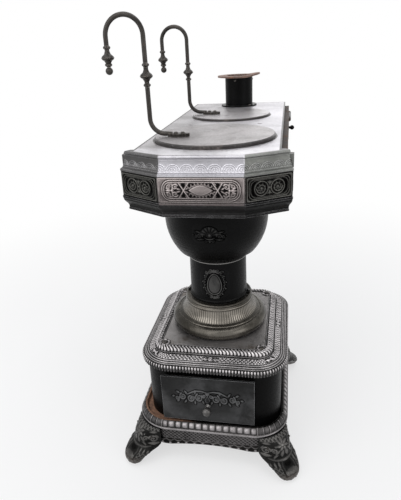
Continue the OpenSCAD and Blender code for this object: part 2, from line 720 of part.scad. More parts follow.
// The ring under the column: a flat seat, a hollow moulding and a heavy round below
ring_tube = 16;
ring_seat_r = column_r + 12.5;
scotia_top = [ring_seat_r + 1, column_foot - 9];
scotia_low = [ring_r - ring_tube - 5, base_top_z + 2 * ring_tube + 2];
ring_hollow = 12;
module column_ring() color(BRONZE) placed() difference() {
    union() {
        rotate_extrude($fn = 96) polygon(concat(
            [[column_r - column_wall - 2, base_top_z], [column_r - column_wall - 2, column_foot],
             [ring_seat_r - 3, column_foot], [ring_seat_r, column_foot - 2], [ring_seat_r, column_foot - 5],
             [ring_seat_r - 2, column_foot - 7]],
            [for (k = [0 : 6]) let (a = 15 * k)
                [scotia_top[0] + (scotia_low[0] - scotia_top[0]) * (1 - cos(a)),
                 scotia_top[1] + (scotia_low[1] - scotia_top[1]) * sin(a)]],
            [[scotia_low[0] + 3, scotia_low[1] - 1], [scotia_low[0] + 3, scotia_low[1] - 4],
             [ring_r - ring_tube + 1, base_top_z + ring_tube], [ring_r - ring_tube - 3, base_top_z]]));
        rotate_extrude($fn = 96) translate([ring_r - ring_tube, base_top_z + ring_tube])
            circle(ring_tube, $fn = 48);
    }
    translate([0, 0, base_top_z - 1])
        cylinder(r1 = ring_r - ring_tube - ring_hollow, r2 = column_r - column_wall, h = 60);
    for (side = [-1, 1]) translate([side * (column_r + 5), 0, column_foot - 16]) cylinder(r = 2.55, h = 18);
}

// ---- Base plate and ash box ----

// Section of the base plate's moulded edge, x being measured from the rim's corner centre
module base_section() polygon([
    [0, rim_z + 12], [wall_r - ash_wall - 2, rim_z + 12], [wall_r - ash_wall - 2, rim_z],
    [rim_r - 4, rim_z], [rim_r - 1, rim_z + 2], [rim_r - 1, rim_z + 7], [rim_r - 3, rim_z + 8],
    [rim_r, rim_z + 10], [rim_r, rim_z + 14], [rim_r - 3, rim_z + 17],
    [rim_r - 6, rim_z + 18], [rim_r - 8, rim_z + 20.5], [rim_r - 12, rim_z + 21],
    [rim_r - 14, rim_z + 23.5], [rim_r - 17, rim_z + 24], [rim_r - border_w + 3, base_top_z - 13],
    [0, base_top_z - 13]]);

module base_plate() color(IRON) placed() difference() {
    union() {
        swept_frame(rim_half_x, rim_half_y, rim_r) base_section();
        translate([0, 0, rim_z + 12]) linear_extrude(height = base_top_z - 25 - rim_z)
            rounded_plan(rim_half_x - rim_r + EPS, rim_half_y - rim_r + EPS, EPS * 2);
        translate([0, 0, base_top_z - 14]) linear_extrude(height = 11)
            rounded_plan(raised_half_x, raised_half_y, 38);
        translate([0, 0, base_top_z - 3 - EPS]) linear_extrude(height = 3 + EPS)
            rounded_plan(raised_half_x - 3, raised_half_y - 3, 35);
    }
    translate([0, 0, rim_z - 1]) linear_extrude(height = base_top_z - rim_z - 7)
        rounded_plan(raised_half_x - 8, raised_half_y - 8, 34);
    translate([0, 0, rim_z]) cylinder(r = column_r - column_wall - 2, h = base_top_z);
    for (p = rod_places) translate([p[0], p[1], rim_z]) cylinder(r = tie_r + 0.3, h = 60);
}
rod_places = [for (sx = [-1, 1], sy = [-1, 1]) [sx * (raised_half_x - 24), sy * (raised_half_y - 24)]];

module ash_box_wall() color(BLACK) placed() difference() {
    translate([0, 0, ledge_z]) linear_extrude(height = rim_z - ledge_z)
        rounded_plan(wall_x, wall_y, wall_r);
    translate([0, 0, ledge_z - 1]) linear_extrude(height = rim_z - ledge_z + 2)
        rounded_plan(wall_x - ash_wall, wall_y - ash_wall, wall_r - ash_wall);
    translate([-drawer_shift - open_w / 2, -wall_y - 2, open_z0]) cube([open_w, ash_wall + 30, open_h]);
}

module ash_box_floor() color(RUST) placed() difference() {
    translate([0, 0, ledge_z]) linear_extrude(height = ash_wall)
        rounded_plan(wall_x - ash_wall - 1, wall_y - ash_wall - 1, wall_r - ash_wall - 1);
    for (p = rod_places) translate([p[0], p[1], ledge_z - 1]) cylinder(r = tie_r + 0.3, h = ash_wall + 2);
}

// A runner: an angle that the tray slides on and against
module runner(side) {
    h = tray_z - TOUCH - runner_z;
    edge = side * (tray_w / 2 + 1);
    translate([-drawer_shift + edge - (side > 0 ? 14 : 0), -wall_y + ash_wall + 4, runner_z])
        cube([14, 2 * wall_y - 2 * ash_wall - 60, h]);
    translate([-drawer_shift + edge - (side > 0 ? 0 : 4), -wall_y + ash_wall + 4, runner_z])
        cube([4, 2 * wall_y - 2 * ash_wall - 60, h + 16]);
}
module left_runner() color(IRON) placed() runner(-1);
module right_runner() color(IRON) placed() runner(1);

module ash_tray() color(RUST) placed() difference() {
    translate([-drawer_shift - tray_w / 2, drawer_face + drawer_t, tray_z])
        cube([tray_w, tray_depth, tray_h]);
    translate([-drawer_shift - tray_w / 2 + tray_t, drawer_face + drawer_t + tray_t, tray_z + tray_t])
        cube([tray_w - 2 * tray_t, tray_depth - 2 * tray_t, tray_h]);
    for (p = drawer_rivet_places) translate([p[0], drawer_face, p[1]])
        rotate([-90, 0, 0]) cylinder(r = 2.55, h = drawer_t + tray_t + 2);
    translate([-drawer_shift, drawer_face, knob_z]) rotate([-90, 0, 0]) cylinder(r = 3.05, h = 20);
}
drawer_rivet_places = [for (sx = [-1, 1], z = [tray_z + 14, tray_z + tray_h - 12])
    [-drawer_shift + sx * (tray_w / 2 - 14), z]];

module drawer_front() color(IRON) placed() difference() {
    translate([-drawer_shift - drawer_w / 2, drawer_face, drawer_z]) cube([drawer_w, drawer_t, drawer_h]);
    for (p = drawer_rivet_places) translate([p[0], drawer_face - 1, p[1]])
        rotate([-90, 0, 0]) cylinder(r = 2.55, h = drawer_t + 2);
    translate([-drawer_shift, drawer_face - 1, knob_z]) rotate([-90, 0, 0])
        cylinder(r = 3.05, h = drawer_t + 2);
}

module drawer_rivets() color(IRON) placed() for (p = drawer_rivet_places)
    translate([p[0], drawer_face + drawer_t + tray_t, p[1]]) rotate([-90, 0, 0])
        bolt(2.5, drawer_t + tray_t, 4, 2);

module drawer_knob() color(SILVER) placed()
translate([-drawer_shift, drawer_face, knob_z]) rotate([90, 0, 0]) {
    translate([0, 0, -drawer_t - tray_t - 4]) cylinder(r = 3, h = drawer_t + tray_t + 5);
    translate([0, 0, TOUCH]) cylinder(r1 = 7, r2 = 4.5, h = 5);
    translate([0, 0, 4]) cylinder(r = 4.5, h = 8);
    translate([0, 0, 18]) sphere(r = knob_r);
}

// Teardrop plate above the knob
module drawer_escutcheon() color(IRON) placed()
    translate([-drawer_shift, drawer_face - TOUCH, knob_z + 20]) rotate([90, 0, 0])
        linear_extrude(height = 2.5) {
            circle(6, $fn = 32);
            polygon([[-5.6, 2.2], [5.6, 2.2], [0, 16]]);
        }

// ---- Skirt and legs ----

// Section of the skirt, x being measured from the rim's corner centre
module skirt_section() {
    in_r = skirt_r - tile_w;
    polygon(concat(
        [[in_r - 34, ledge_z - 6], [in_r - 34, ledge_z], [in_r - 2, ledge_z], [in_r, ledge_z + 8]],
        [for (a = [75 : -15 : 0]) [in_r + 1 + (tile_w - 3) * cos(a), ledge_z - 6 + 15 * sin(a)]],
        [[skirt_r, ledge_z - 7], [skirt_r, ledge_z - 11], [skirt_r - 3, ledge_z - 13],
         [skirt_r - 5, ledge_z - 24], [skirt_r - 5, ledge_z - 44], [skirt_r - 2, skirt_low + 8],
         [skirt_r - 1, skirt_low], [skirt_r - 7, skirt_low], [skirt_r - 11, ledge_z - 44],
         [skirt_r - 11, ledge_z - 14], [in_r - 6, ledge_z - 6]]));
}

module skirt() color(IRON) placed() translate([-skirt_shift, 0, 0]) difference() {
    swept_frame(skirt_half_x, skirt_half_y, skirt_r) skirt_section();
    // shallow arches between the legs
    for (turn = [0, 90, 180, 270]) rotate([0, 0, turn])
        translate([0, 0, skirt_low - 598]) rotate([90, 0, 0]) cylinder(r = 606, h = 300, $fn = 96);
    for (sx = [-1, 1], sy = [-1, 1]) translate([sx * corner_x, sy * corner_y, 0])
        rotate([0, 0, atan2(sy * sin(leg_turn), sx * cos(leg_turn))])
            for (turn = leg_bolt_turns) rotate([0, 0, turn]) translate([0, 0, leg_bolt_z])
                rotate([0, 90, 0]) cylinder(r = 3.05, h = skirt_r + 2);
    for (p = rod_places) translate([p[0] + skirt_shift, p[1], ledge_z - 8])
        cylinder(r = tie_r + 0.3, h = 12);
}
leg_bolt_turns = [-20, 20];
leg_bolt_z = ledge_z - 34;

// Side outline of a leg: [distance from the corner centre, height], an S with a scrolled toe
module leg_profile() {
    polygon([[skirt_r + 1, leg_top], [skirt_r + 14, leg_top - 4], [skirt_r + 25, leg_top - 16],
             [skirt_r + 30, leg_top - 26], [skirt_r + 32, leg_top - 38], [skirt_r + 37, leg_top - 50],
             [leg_reach + 4, toe_r + 16], [leg_reach + 13, toe_r + 9], [leg_reach - 8, 0],
             [leg_reach - 20, 0], [leg_reach - 30, 14], [skirt_r + 8, leg_top - 58],
             [skirt_r + 1, leg_top - 46]]);
    translate([leg_reach, toe_r - sole_cut]) circle(toe_r, $fn = 48);
}

// Half widths of a leg by height, from its top through the knee down to the sole
leg_half = [[34, leg_top], [42, leg_top - 26], [knee_half, leg_top - 44], [knee_half - 5, leg_top - 58],
            [toe_half + 4, toe_r + 9], [toe_half, toe_r - sole_cut], [sole_half + 6, 7], [sole_half, 0]];

// Plan of a leg, tapering from the apron's ends to a round toe
apron_end = [apron_r * cos(apron_turn), apron_r * sin(apron_turn)];
module leg_plan() {
    polygon([[40, -apron_end[1]], [apron_end[0], -apron_end[1]], [toe_x + 6, -toe_half + 0.6],
             [toe_x + 6, toe_half - 0.6], [apron_end[0], apron_end[1]], [40, apron_end[1]]]);
    translate([toe_x, 0]) circle(toe_half);
}

module leg(sx, sy) placed() translate([-skirt_shift + sx * corner_x, sy * corner_y, 0])
    rotate([0, 0, atan2(sy * sin(leg_turn), sx * cos(leg_turn))]) difference() {
        union() {
            // the scrolled body, wider at the knee than at the toe
            intersection() {
                rotate([90, 0, 0]) translate([0, 0, -knee_half - 2])
                    linear_extrude(height = 2 * knee_half + 4) leg_profile();
                rotate([90, 0, 90]) linear_extrude(height = 200)
                    polygon(concat(leg_half, [for (k = [len(leg_half) - 1 : -1 : 0])
                        [-leg_half[k][0], leg_half[k][1]]]));
                linear_extrude(height = leg_top) leg_plan();
            }
            // the apron that hugs the skirt's corner
            rotate([0, 0, -apron_turn]) rotate_extrude(angle = 2 * apron_turn)
                translate([skirt_r + TOUCH, skirt_low - 4]) square([7, leg_top - skirt_low - 2]);
        }
        for (turn = leg_bolt_turns) rotate([0, 0, turn]) translate([0, 0, leg_bolt_z])
            rotate([0, 90, 0]) cylinder(r = 3.05, h = 300);
    }

module front_left_leg() color(IRON) leg(-1, -1);
module front_right_leg() color(IRON) leg(1, -1);
module rear_left_leg() color(IRON) leg(-1, 1);
module rear_right_leg() color(IRON) leg(1, 1);

module leg_bolts() color(IRON) placed() for (sx = [-1, 1], sy = [-1, 1])
    translate([-skirt_shift + sx * corner_x, sy * corner_y, leg_bolt_z])
        rotate([0, 0, atan2(sy * sin(leg_turn), sx * cos(leg_turn))])
            for (turn = leg_bolt_turns) rotate([0, 0, turn]) translate([skirt_r - 11.5, 0, 0])
                rotate([0, -90, 0]) bolt(3, 30, 6, 5);

module tie_rods() color(IRON) placed() for (p = rod_places)
    translate([p[0], p[1], ledge_z - 22]) {
        cylinder(r = tie_r, h = base_top_z - ledge_z + 18);
        translate([0, 0, base_top_z - ledge_z + 22]) cylinder(r1 = 8, r2 = 5, h = 4);
        translate([0, 0, base_top_z - ledge_z + 17]) cylinder(r = tie_r, h = 6);
    }

module tie_rod_nuts() color(IRON) placed() for (p = rod_places)
    translate([p[0], p[1], ledge_z - 13]) nut(tie_r + 0.05, 16, 7);

hob_plate();
plate_screws();
cross_bar();
front_lid();
rear_lid();
front_lid_handle();
rear_lid_handle();
handle_rivets();
front_fascia();
left_side_wall();
right_side_wall();
rear_end_plate();
box_floor();
fascia_bolts();
rear_plate_bolts();
soot_door();
soot_door_pin();
flue_collar();
flue_collar_screws();
flue_stub();
flue_flange();
flue_rivets();
fire_pot();
pot_bolts();
fire_grate();
column();
column_screws();
column_ring();
base_plate();
ash_box_wall();
ash_box_floor();
left_runner();
right_runner();
ash_tray();
drawer_front();
drawer_rivets();
drawer_knob();
drawer_escutcheon();
skirt();
front_left_leg();
front_right_leg();
rear_left_leg();
rear_right_leg();
leg_bolts();
tie_rods();
tie_rod_nuts();
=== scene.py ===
"""Antique cast-iron column stove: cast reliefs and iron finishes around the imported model.

Sizes in the helpers are millimetres from the fire pot's axis; at() turns them into metres
in the row frame. Reliefs are skins: a profile swept along stations and raised by a height
pattern, closed at the back inside the casting that carries them.
"""
import json
import math
import bmesh
import bpy
import numpy as np
from mathutils import Matrix, Vector


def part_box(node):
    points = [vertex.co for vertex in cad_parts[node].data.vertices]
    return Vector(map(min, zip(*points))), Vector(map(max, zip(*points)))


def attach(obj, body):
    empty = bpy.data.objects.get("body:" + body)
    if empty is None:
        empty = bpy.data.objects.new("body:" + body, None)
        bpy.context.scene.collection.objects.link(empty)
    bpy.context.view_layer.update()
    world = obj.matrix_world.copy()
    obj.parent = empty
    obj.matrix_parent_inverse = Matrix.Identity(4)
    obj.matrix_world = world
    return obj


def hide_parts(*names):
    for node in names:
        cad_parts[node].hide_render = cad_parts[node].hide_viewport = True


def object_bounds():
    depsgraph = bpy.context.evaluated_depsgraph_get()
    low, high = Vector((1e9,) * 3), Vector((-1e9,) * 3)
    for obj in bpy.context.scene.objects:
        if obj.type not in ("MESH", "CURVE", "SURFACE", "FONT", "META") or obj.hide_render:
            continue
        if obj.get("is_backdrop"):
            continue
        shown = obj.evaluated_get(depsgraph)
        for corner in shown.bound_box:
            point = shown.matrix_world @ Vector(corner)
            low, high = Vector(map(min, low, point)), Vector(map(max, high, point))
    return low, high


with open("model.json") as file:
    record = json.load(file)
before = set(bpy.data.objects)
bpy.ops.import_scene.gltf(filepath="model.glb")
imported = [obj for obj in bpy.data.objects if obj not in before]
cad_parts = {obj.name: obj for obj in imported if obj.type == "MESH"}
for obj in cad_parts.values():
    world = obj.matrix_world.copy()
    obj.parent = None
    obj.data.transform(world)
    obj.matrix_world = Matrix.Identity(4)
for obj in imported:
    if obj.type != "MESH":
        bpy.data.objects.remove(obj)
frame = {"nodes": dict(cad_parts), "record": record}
CAD_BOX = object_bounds()

low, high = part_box("fire_pot")
AXIS_X, AXIS_Y = (low.x + high.x) / 2, (low.y + high.y) / 2
MM = 0.001

PLATE_TOP = 780.0
# the hob's lip: how far out its front is, its rear corners, and its half widths there
LIP_FRONT, LIP_END, LIP_HALF, LIP_FRONT_HALF = 180.5, 130.0, 171.5, 83.5
# half width, half depth and corner radius
BORDER, RAISED_EDGE, SKIRT = (180, 196, 77), (144, 160, 38), (190, 215, 84)
SKIRT_SHIFT = 5
FLUTES, FLUTE_R = 96, 100


def at(points):
    """Millimetres from the pot's axis to metres in the row frame."""
    out = np.asarray(points, float) * MM
    out[..., 0] += AXIS_X
    out[..., 1] += AXIS_Y
    return out


# ---- materials

class Nodes:
    """Short ways to add shader nodes to one material."""

    def __init__(self, name):
        self.mat = bpy.data.materials.new(name)
        self.mat.use_nodes = True
        self.tree = self.mat.node_tree
        self.tree.nodes.clear()
        self.coord = self.tree.nodes.new("ShaderNodeTexCoord").outputs["Object"]

    def new(self, kind, **inputs):
        node = self.tree.nodes.new(kind)
        for key, value in inputs.items():
            self.put(node.inputs[key.replace("_", " ")], value)
        return node

    def put(self, socket, value):
        if isinstance(value, bpy.types.NodeSocket):
            self.tree.links.new(value, socket)
        else:
            socket.default_value = value

    def noise(self, scale, detail=4.0, rough=0.6, distort=0.0):
        return self.new("ShaderNodeTexNoise", Scale=scale, Detail=detail, Roughness=rough,
                        Distortion=distort, Vector=self.coord).outputs["Fac"]

    def cells(self, scale):
        return self.new("ShaderNodeTexVoronoi", Scale=scale, Randomness=1.0,
                        Vector=self.coord).outputs["Distance"]

    def math(self, op, a, b=0.0, clamp=False):
        node = self.tree.nodes.new("ShaderNodeMath")
        node.operation = op
        node.use_clamp = clamp
        self.put(node.inputs[0], a)
        self.put(node.inputs[1], b)
        return node.outputs[0]

    def mul(self, a, b):
        return self.math("MULTIPLY", a, b)

    def add(self, a, b, clamp=False):
        return self.math("ADD", a, b, clamp)

    def sub(self, a, b, clamp=False):
        return self.math("SUBTRACT", a, b, clamp)

    def ramp(self, value, low, high, to_low=0.0, to_high=1.0):
        node = self.new("ShaderNodeMapRange", Value=value)
        node.interpolation_type = "SMOOTHSTEP"
        for index, number in ((1, low), (2, high), (3, to_low), (4, to_high)):
            self.put(node.inputs[index], number)
        return node.outputs[0]

    def mix(self, factor, a, b, blend="MIX"):
        node = self.tree.nodes.new("ShaderNodeMix")
        node.data_type = "RGBA"
        node.blend_type = blend
        self.put(node.inputs["Factor"], factor)
        self.put(node.inputs[6], a if not isinstance(a, tuple) else (*a, 1.0))
        self.put(node.inputs[7], b if not isinstance(b, tuple) else (*b, 1.0))
        return node.outputs[2]

    def edge(self, radius):
        """1 on the casting's edges and 0 on its flats."""
        bevel = self.new("ShaderNodeBevel", Radius=radius)
        bevel.samples = 4
        plain = self.tree.nodes.new("ShaderNodeNewGeometry").outputs["Normal"]
        node = self.tree.nodes.new("ShaderNodeVectorMath")
        node.operation = "DOT_PRODUCT"
        self.put(node.inputs[0], bevel.outputs[0])
        self.put(node.inputs[1], plain)
        return self.ramp(node.outputs["Value"], 0.995, 0.86)

    def attribute(self, name):
        node = self.tree.nodes.new("ShaderNodeAttribute")
        node.attribute_name = name
        return node.outputs["Fac"]

    def surface(self, shader):
        out = self.tree.nodes.new("ShaderNodeOutputMaterial")
        self.tree.links.new(shader, out.inputs[0])


RUST = (0.12, 0.075, 0.05)


def iron(name, base, deep, worn, rust=RUST, rusty=0.12, shine=0.5, rough=0.36, metal=0.5,
         gloss=0.5, relief=0.0, edges=0.8, grain=1.0, speckle=0.3, rust_scale=22.0,
         zones=(), shade_and_dirt=()):
    """Old cast iron: mottled blackening, rubbed edges, rust patches, dust and a pitted skin.
    relief is how dark the painted shade in the hollows of a carved piece is, zones are (mask
    maker, colour, extra metal) painted before the wear and the rust, and shade_and_dirt is (mask
    maker, strength) of painted shade and dirt over it."""
    n = Nodes(name)
    broad = n.noise(9.0, 5.0, 0.62, 0.4)
    patch = n.noise(rust_scale, 6.0, 0.68, 0.8)
    fine = n.noise(160.0, 5.0, 0.7)
    grit = n.noise(620.0, 3.0, 0.6)
    pits = n.cells(330.0)
    color = n.mix(n.ramp(broad, 0.35, 0.68), deep, base)
    metallic = metal
    for mask, tone, extra in zones:
        where = mask(n)
        tone = n.mix(n.ramp(broad, 0.3, 0.7), tuple(0.7 * c for c in tone), tone)
        color = n.mix(where, color, tone)
        metallic = n.add(metallic, n.mul(where, extra))
    color = n.mix(n.ramp(fine, 0.52, 0.78, 0.0, speckle), color, worn)
    rubbed = 0.0
    if relief:
        height = n.attribute("relief")
        # painted shade: the hollows of a carved piece get a darker colour and full metal so that
        # they reflect little, like occlusion
        hollow = n.ramp(height, 0.04, 0.34, relief, 0.0)
        color = n.mix(hollow, color, tuple(0.3 * c for c in deep))
        metallic = n.add(n.mul(metallic, n.sub(1.0, hollow)), n.mul(hollow, 1.35), clamp=True)
        rubbed = n.mul(n.ramp(height, 0.35, 0.95), n.ramp(patch, 0.25, 0.6, 0.45, 1.0))
    worn_edge = n.mul(n.mul(n.edge(0.0022), n.ramp(patch, 0.3, 0.6, 0.25, 1.0)), edges)
    wear = n.math("MAXIMUM", worn_edge, rubbed, clamp=True)
    color = n.mix(n.mul(wear, shine), color, worn)
    # painted shade, with dirt on the panel, darkens the masked parts towards the deep colour
    for mask, strength in shade_and_dirt:
        where = n.mul(mask(n), n.ramp(patch, 0.2, 0.55, 0.6, 1.0))
        color = n.mix(n.mul(where, strength), color, deep)
    spread = n.add(n.mul(patch, 0.75), n.mul(fine, 0.25))
    rusted = n.ramp(spread, 0.63 - 0.3 * rusty, 0.8 - 0.3 * rusty, 0.0, min(1.0, 0.35 + rusty))
    rusted = n.math("MAXIMUM", rusted, n.mul(n.attribute("rust"), n.ramp(patch, 0.25, 0.5)))
    color = n.mix(rusted, color,
                  n.mix(n.ramp(fine, 0.4, 0.65), tuple(0.55 * c for c in rust), rust))
    matt = n.add(n.ramp(fine, 0.3, 0.7, rough - 0.09, rough + 0.12), n.mul(rusted, 0.25))
    lumps = n.add(n.mul(fine, 0.9), n.mul(grit, 0.35))
    lumps = n.add(lumps, n.ramp(pits, 0.0, 0.25, -0.35, 0.0))
    lumps = n.add(lumps, n.mul(rusted, 0.5))
    bump = n.new("ShaderNodeBump", Strength=0.5 * grain, Distance=0.0009, Height=lumps)
    shader = n.new("ShaderNodeBsdfPrincipled", Specular_IOR_Level=gloss, Base_Color=color,
                   Roughness=n.sub(matt, n.mul(wear, 0.12), clamp=True),
                   Metallic=n.sub(n.add(metallic, n.mul(wear, 0.35)), n.mul(rusted, 0.9),
                                  clamp=True),
                   Normal=bump.outputs[0])
    n.surface(shader.outputs[0])
    return n.mat


def place(n, axis):
    """A coordinate in millimetres from the pot's axis, or above the floor."""
    parts = n.new("ShaderNodeSeparateXYZ", Vector=n.coord).outputs
    return n.mul(n.sub(parts[axis], (AXIS_X, AXIS_Y, 0)[axis]), 1 / MM)


def facet(low_z, high_z, which):
    """Between two levels on the fascia's front facet (1), or left (2) or right (3) of it."""
    def mask(n):
        z, x = place(n, 2), place(n, 0)
        level = n.mul(n.ramp(z, low_z - 1, low_z + 1), n.ramp(z, high_z + 1, high_z - 1))
        inner, outer = LIP_FRONT_HALF + 2, LIP_FRONT_HALF + 4
        if which == 1:
            return n.mul(level, n.ramp(n.math("ABSOLUTE", x), outer, inner))
        way = -1 if which == 2 else 1
        return n.mul(level, n.ramp(x, way * inner, way * outer))
    return mask


def ring_zone(spot, inner, outer, blur):
    """Between two distances from an upright axis."""
    def mask(n):
        across, along = n.sub(place(n, 0), spot[0]), n.sub(place(n, 1), spot[1])
        gap = n.math("SQRT", n.add(n.mul(across, across), n.mul(along, along)))
        return n.mul(n.ramp(gap, inner - blur, inner), n.ramp(gap, outer + blur, outer))
    return mask


def below(level, blur):
    return lambda n: n.ramp(place(n, 2), level + blur, level)


def between(low_z, high_z, blur):
    def mask(n):
        z = place(n, 2)
        return n.mul(n.ramp(z, low_z - blur, low_z), n.ramp(z, high_z + blur, high_z))
    return mask


def stains(low, high, *noise):
    """Patches of a noise of its own."""
    return lambda n: n.ramp(n.noise(*noise), low, high)


def both(first, second):
    return lambda n: n.mul(first(n), second(n))


def right_sheen(n):
    """A painted reflection that grows from the hob's left edge to its right one, broken up by the
    stains.
    """
    return n.ramp(n.add(place(n, 0), n.mul(n.noise(7.0, 4.0, 0.6), 160.0)), -60.0, 200.0)


def front_apron_highlight(n):
    """The hob's strip in front of the big lid, painted bright as a highlight."""
    return n.ramp(place(n, 1), -90.0, -125.0)


def plate_edge_shade(n):
    """A thin line of painted shade along the hob's long sides and its end."""
    side = n.ramp(n.math("ABSOLUTE", place(n, 0)), 150.0, 152.0)
    return n.math("MAXIMUM", side, n.ramp(place(n, 1), 643.5, 646.0))


# levels on the fascia, from its upper edge down to the foot of its moulding
LIP_TOP, LIP_FOOT, PANEL_TOP, PANEL_FOOT, MOULDING_FOOT = 790, 772.5, 741.5, 684, 600
# painted light by facet: the front facet is painted bright above its panel as a reflection, its
# panel lighter, and its moulding painted dark below as shade; the upper side facets are painted as
# shaded copies, the right one lighter than the left
FACET_LIGHT_ZONES = (
    (facet(PANEL_TOP, LIP_TOP, 1), (0.6, 0.59, 0.63), 0.35),
    (facet(LIP_FOOT, LIP_TOP, 1), (0.47, 0.46, 0.49), 0.25),
    (facet(PANEL_FOOT, PANEL_TOP, 1), (0.16, 0.135, 0.132), 0.2),
    (facet(MOULDING_FOOT, PANEL_FOOT, 1), (0.026, 0.025, 0.025), 0.1),
    (facet(612, 640, 1), (0.052, 0.05, 0.049), 0.1),
    (facet(PANEL_TOP, LIP_TOP, 2), (0.135, 0.132, 0.132), 0.1),
    (facet(PANEL_TOP, LIP_TOP, 3), (0.215, 0.22, 0.205), 0.1),
)
# the lids' middles and radii on the hob, then its three screws
FRONT_LID, FRONT_LID_R, REAR_LID, REAR_LID_R = (0, 14), 137, (0, 352), 111
HOB_SCREWS, SCREW_R = ((-93, 196.25), (0, 196.25), (93, 196.25)), 4.2
SWIRLS = stains(0.47, 0.66, 13.0, 6.0, 0.68, 1.8)
PLATE_ZONES = (
    # painted reflection, lighter towards the hob's right
    (right_sheen, (0.6, 0.585, 0.62), 0.1),
    # painted highlight on the hob's front strip
    (front_apron_highlight, (0.8, 0.785, 0.82), 0.1),
    (ring_zone(FRONT_LID, 0, FRONT_LID_R, 2), (0.385, 0.365, 0.37), 0.0),
    (ring_zone(REAR_LID, 0, REAR_LID_R, 2), (0.5, 0.48, 0.49), 0.0),
    (both(ring_zone(FRONT_LID, 0, FRONT_LID_R - 7, 4), SWIRLS), (0.265, 0.245, 0.245), 0.0),
    (both(ring_zone(REAR_LID, 0, REAR_LID_R - 6, 4), SWIRLS), (0.34, 0.32, 0.325), 0.0),
    # painted shadow: dark rings on the hob round the lids
    (ring_zone(FRONT_LID, 137.5, 143.5, 1), (0.03, 0.026, 0.024), -0.6),
    (ring_zone(REAR_LID, 111.5, 116.5, 1), (0.036, 0.03, 0.028), -0.6),
    (plate_edge_shade, (0.045, 0.042, 0.042), -0.5),
    *((ring_zone(spot, 0, SCREW_R, 1), (0.04, 0.032, 0.028), -0.6) for spot in HOB_SCREWS),
)
DRAWER_ZONES = (
    (stains(0.42, 0.66, 10.0, 4.0, 0.6), (0.085, 0.085, 0.087), 0.1),
    (stains(0.56, 0.72, 14.0, 4.0, 0.6, 0.5), (0.02, 0.02, 0.02), 0.0),
)
TOE_ZONES = ((below(14, 16), (0.085, 0.074, 0.066), 0.1),)
# the base plate's upward face is painted lighter and more metallic as a reflection of the sky,
# with stains on it
BASE_TOP_SHEEN = between(303.2, 305, 0.6)
BASE_ZONES = (
    (BASE_TOP_SHEEN, (0.32, 0.305, 0.3), 0.3),
    (both(BASE_TOP_SHEEN, stains(0.5, 0.66, 13.0, 5.0, 0.65, 0.6)), (0.17, 0.15, 0.135), 0.0),
)
# a painted highlight: the bright line on the collar at the column's top
COLUMN_HIGHLIGHT = ((between(492.5, 495.5, 0.5), (0.3, 0.29, 0.28), 0.4),)
# painted shade on the teeth tucked under the base's rim
TEETH_SHADE = ((below(273, 3), 0.5),)
# the panel's lower part is duller than its upper one, painted shade with dirt
PANEL_SHADE_AND_DIRT = ((below(704, 14), 0.5),)

BLACK_RUST = (0.05, 0.035, 0.03)
BLACK = ((0.0036, 0.0036, 0.0038), (0.0018, 0.0018, 0.0018))
DRAWER_GREY = ((0.044, 0.0445, 0.045), (0.014, 0.014, 0.014))
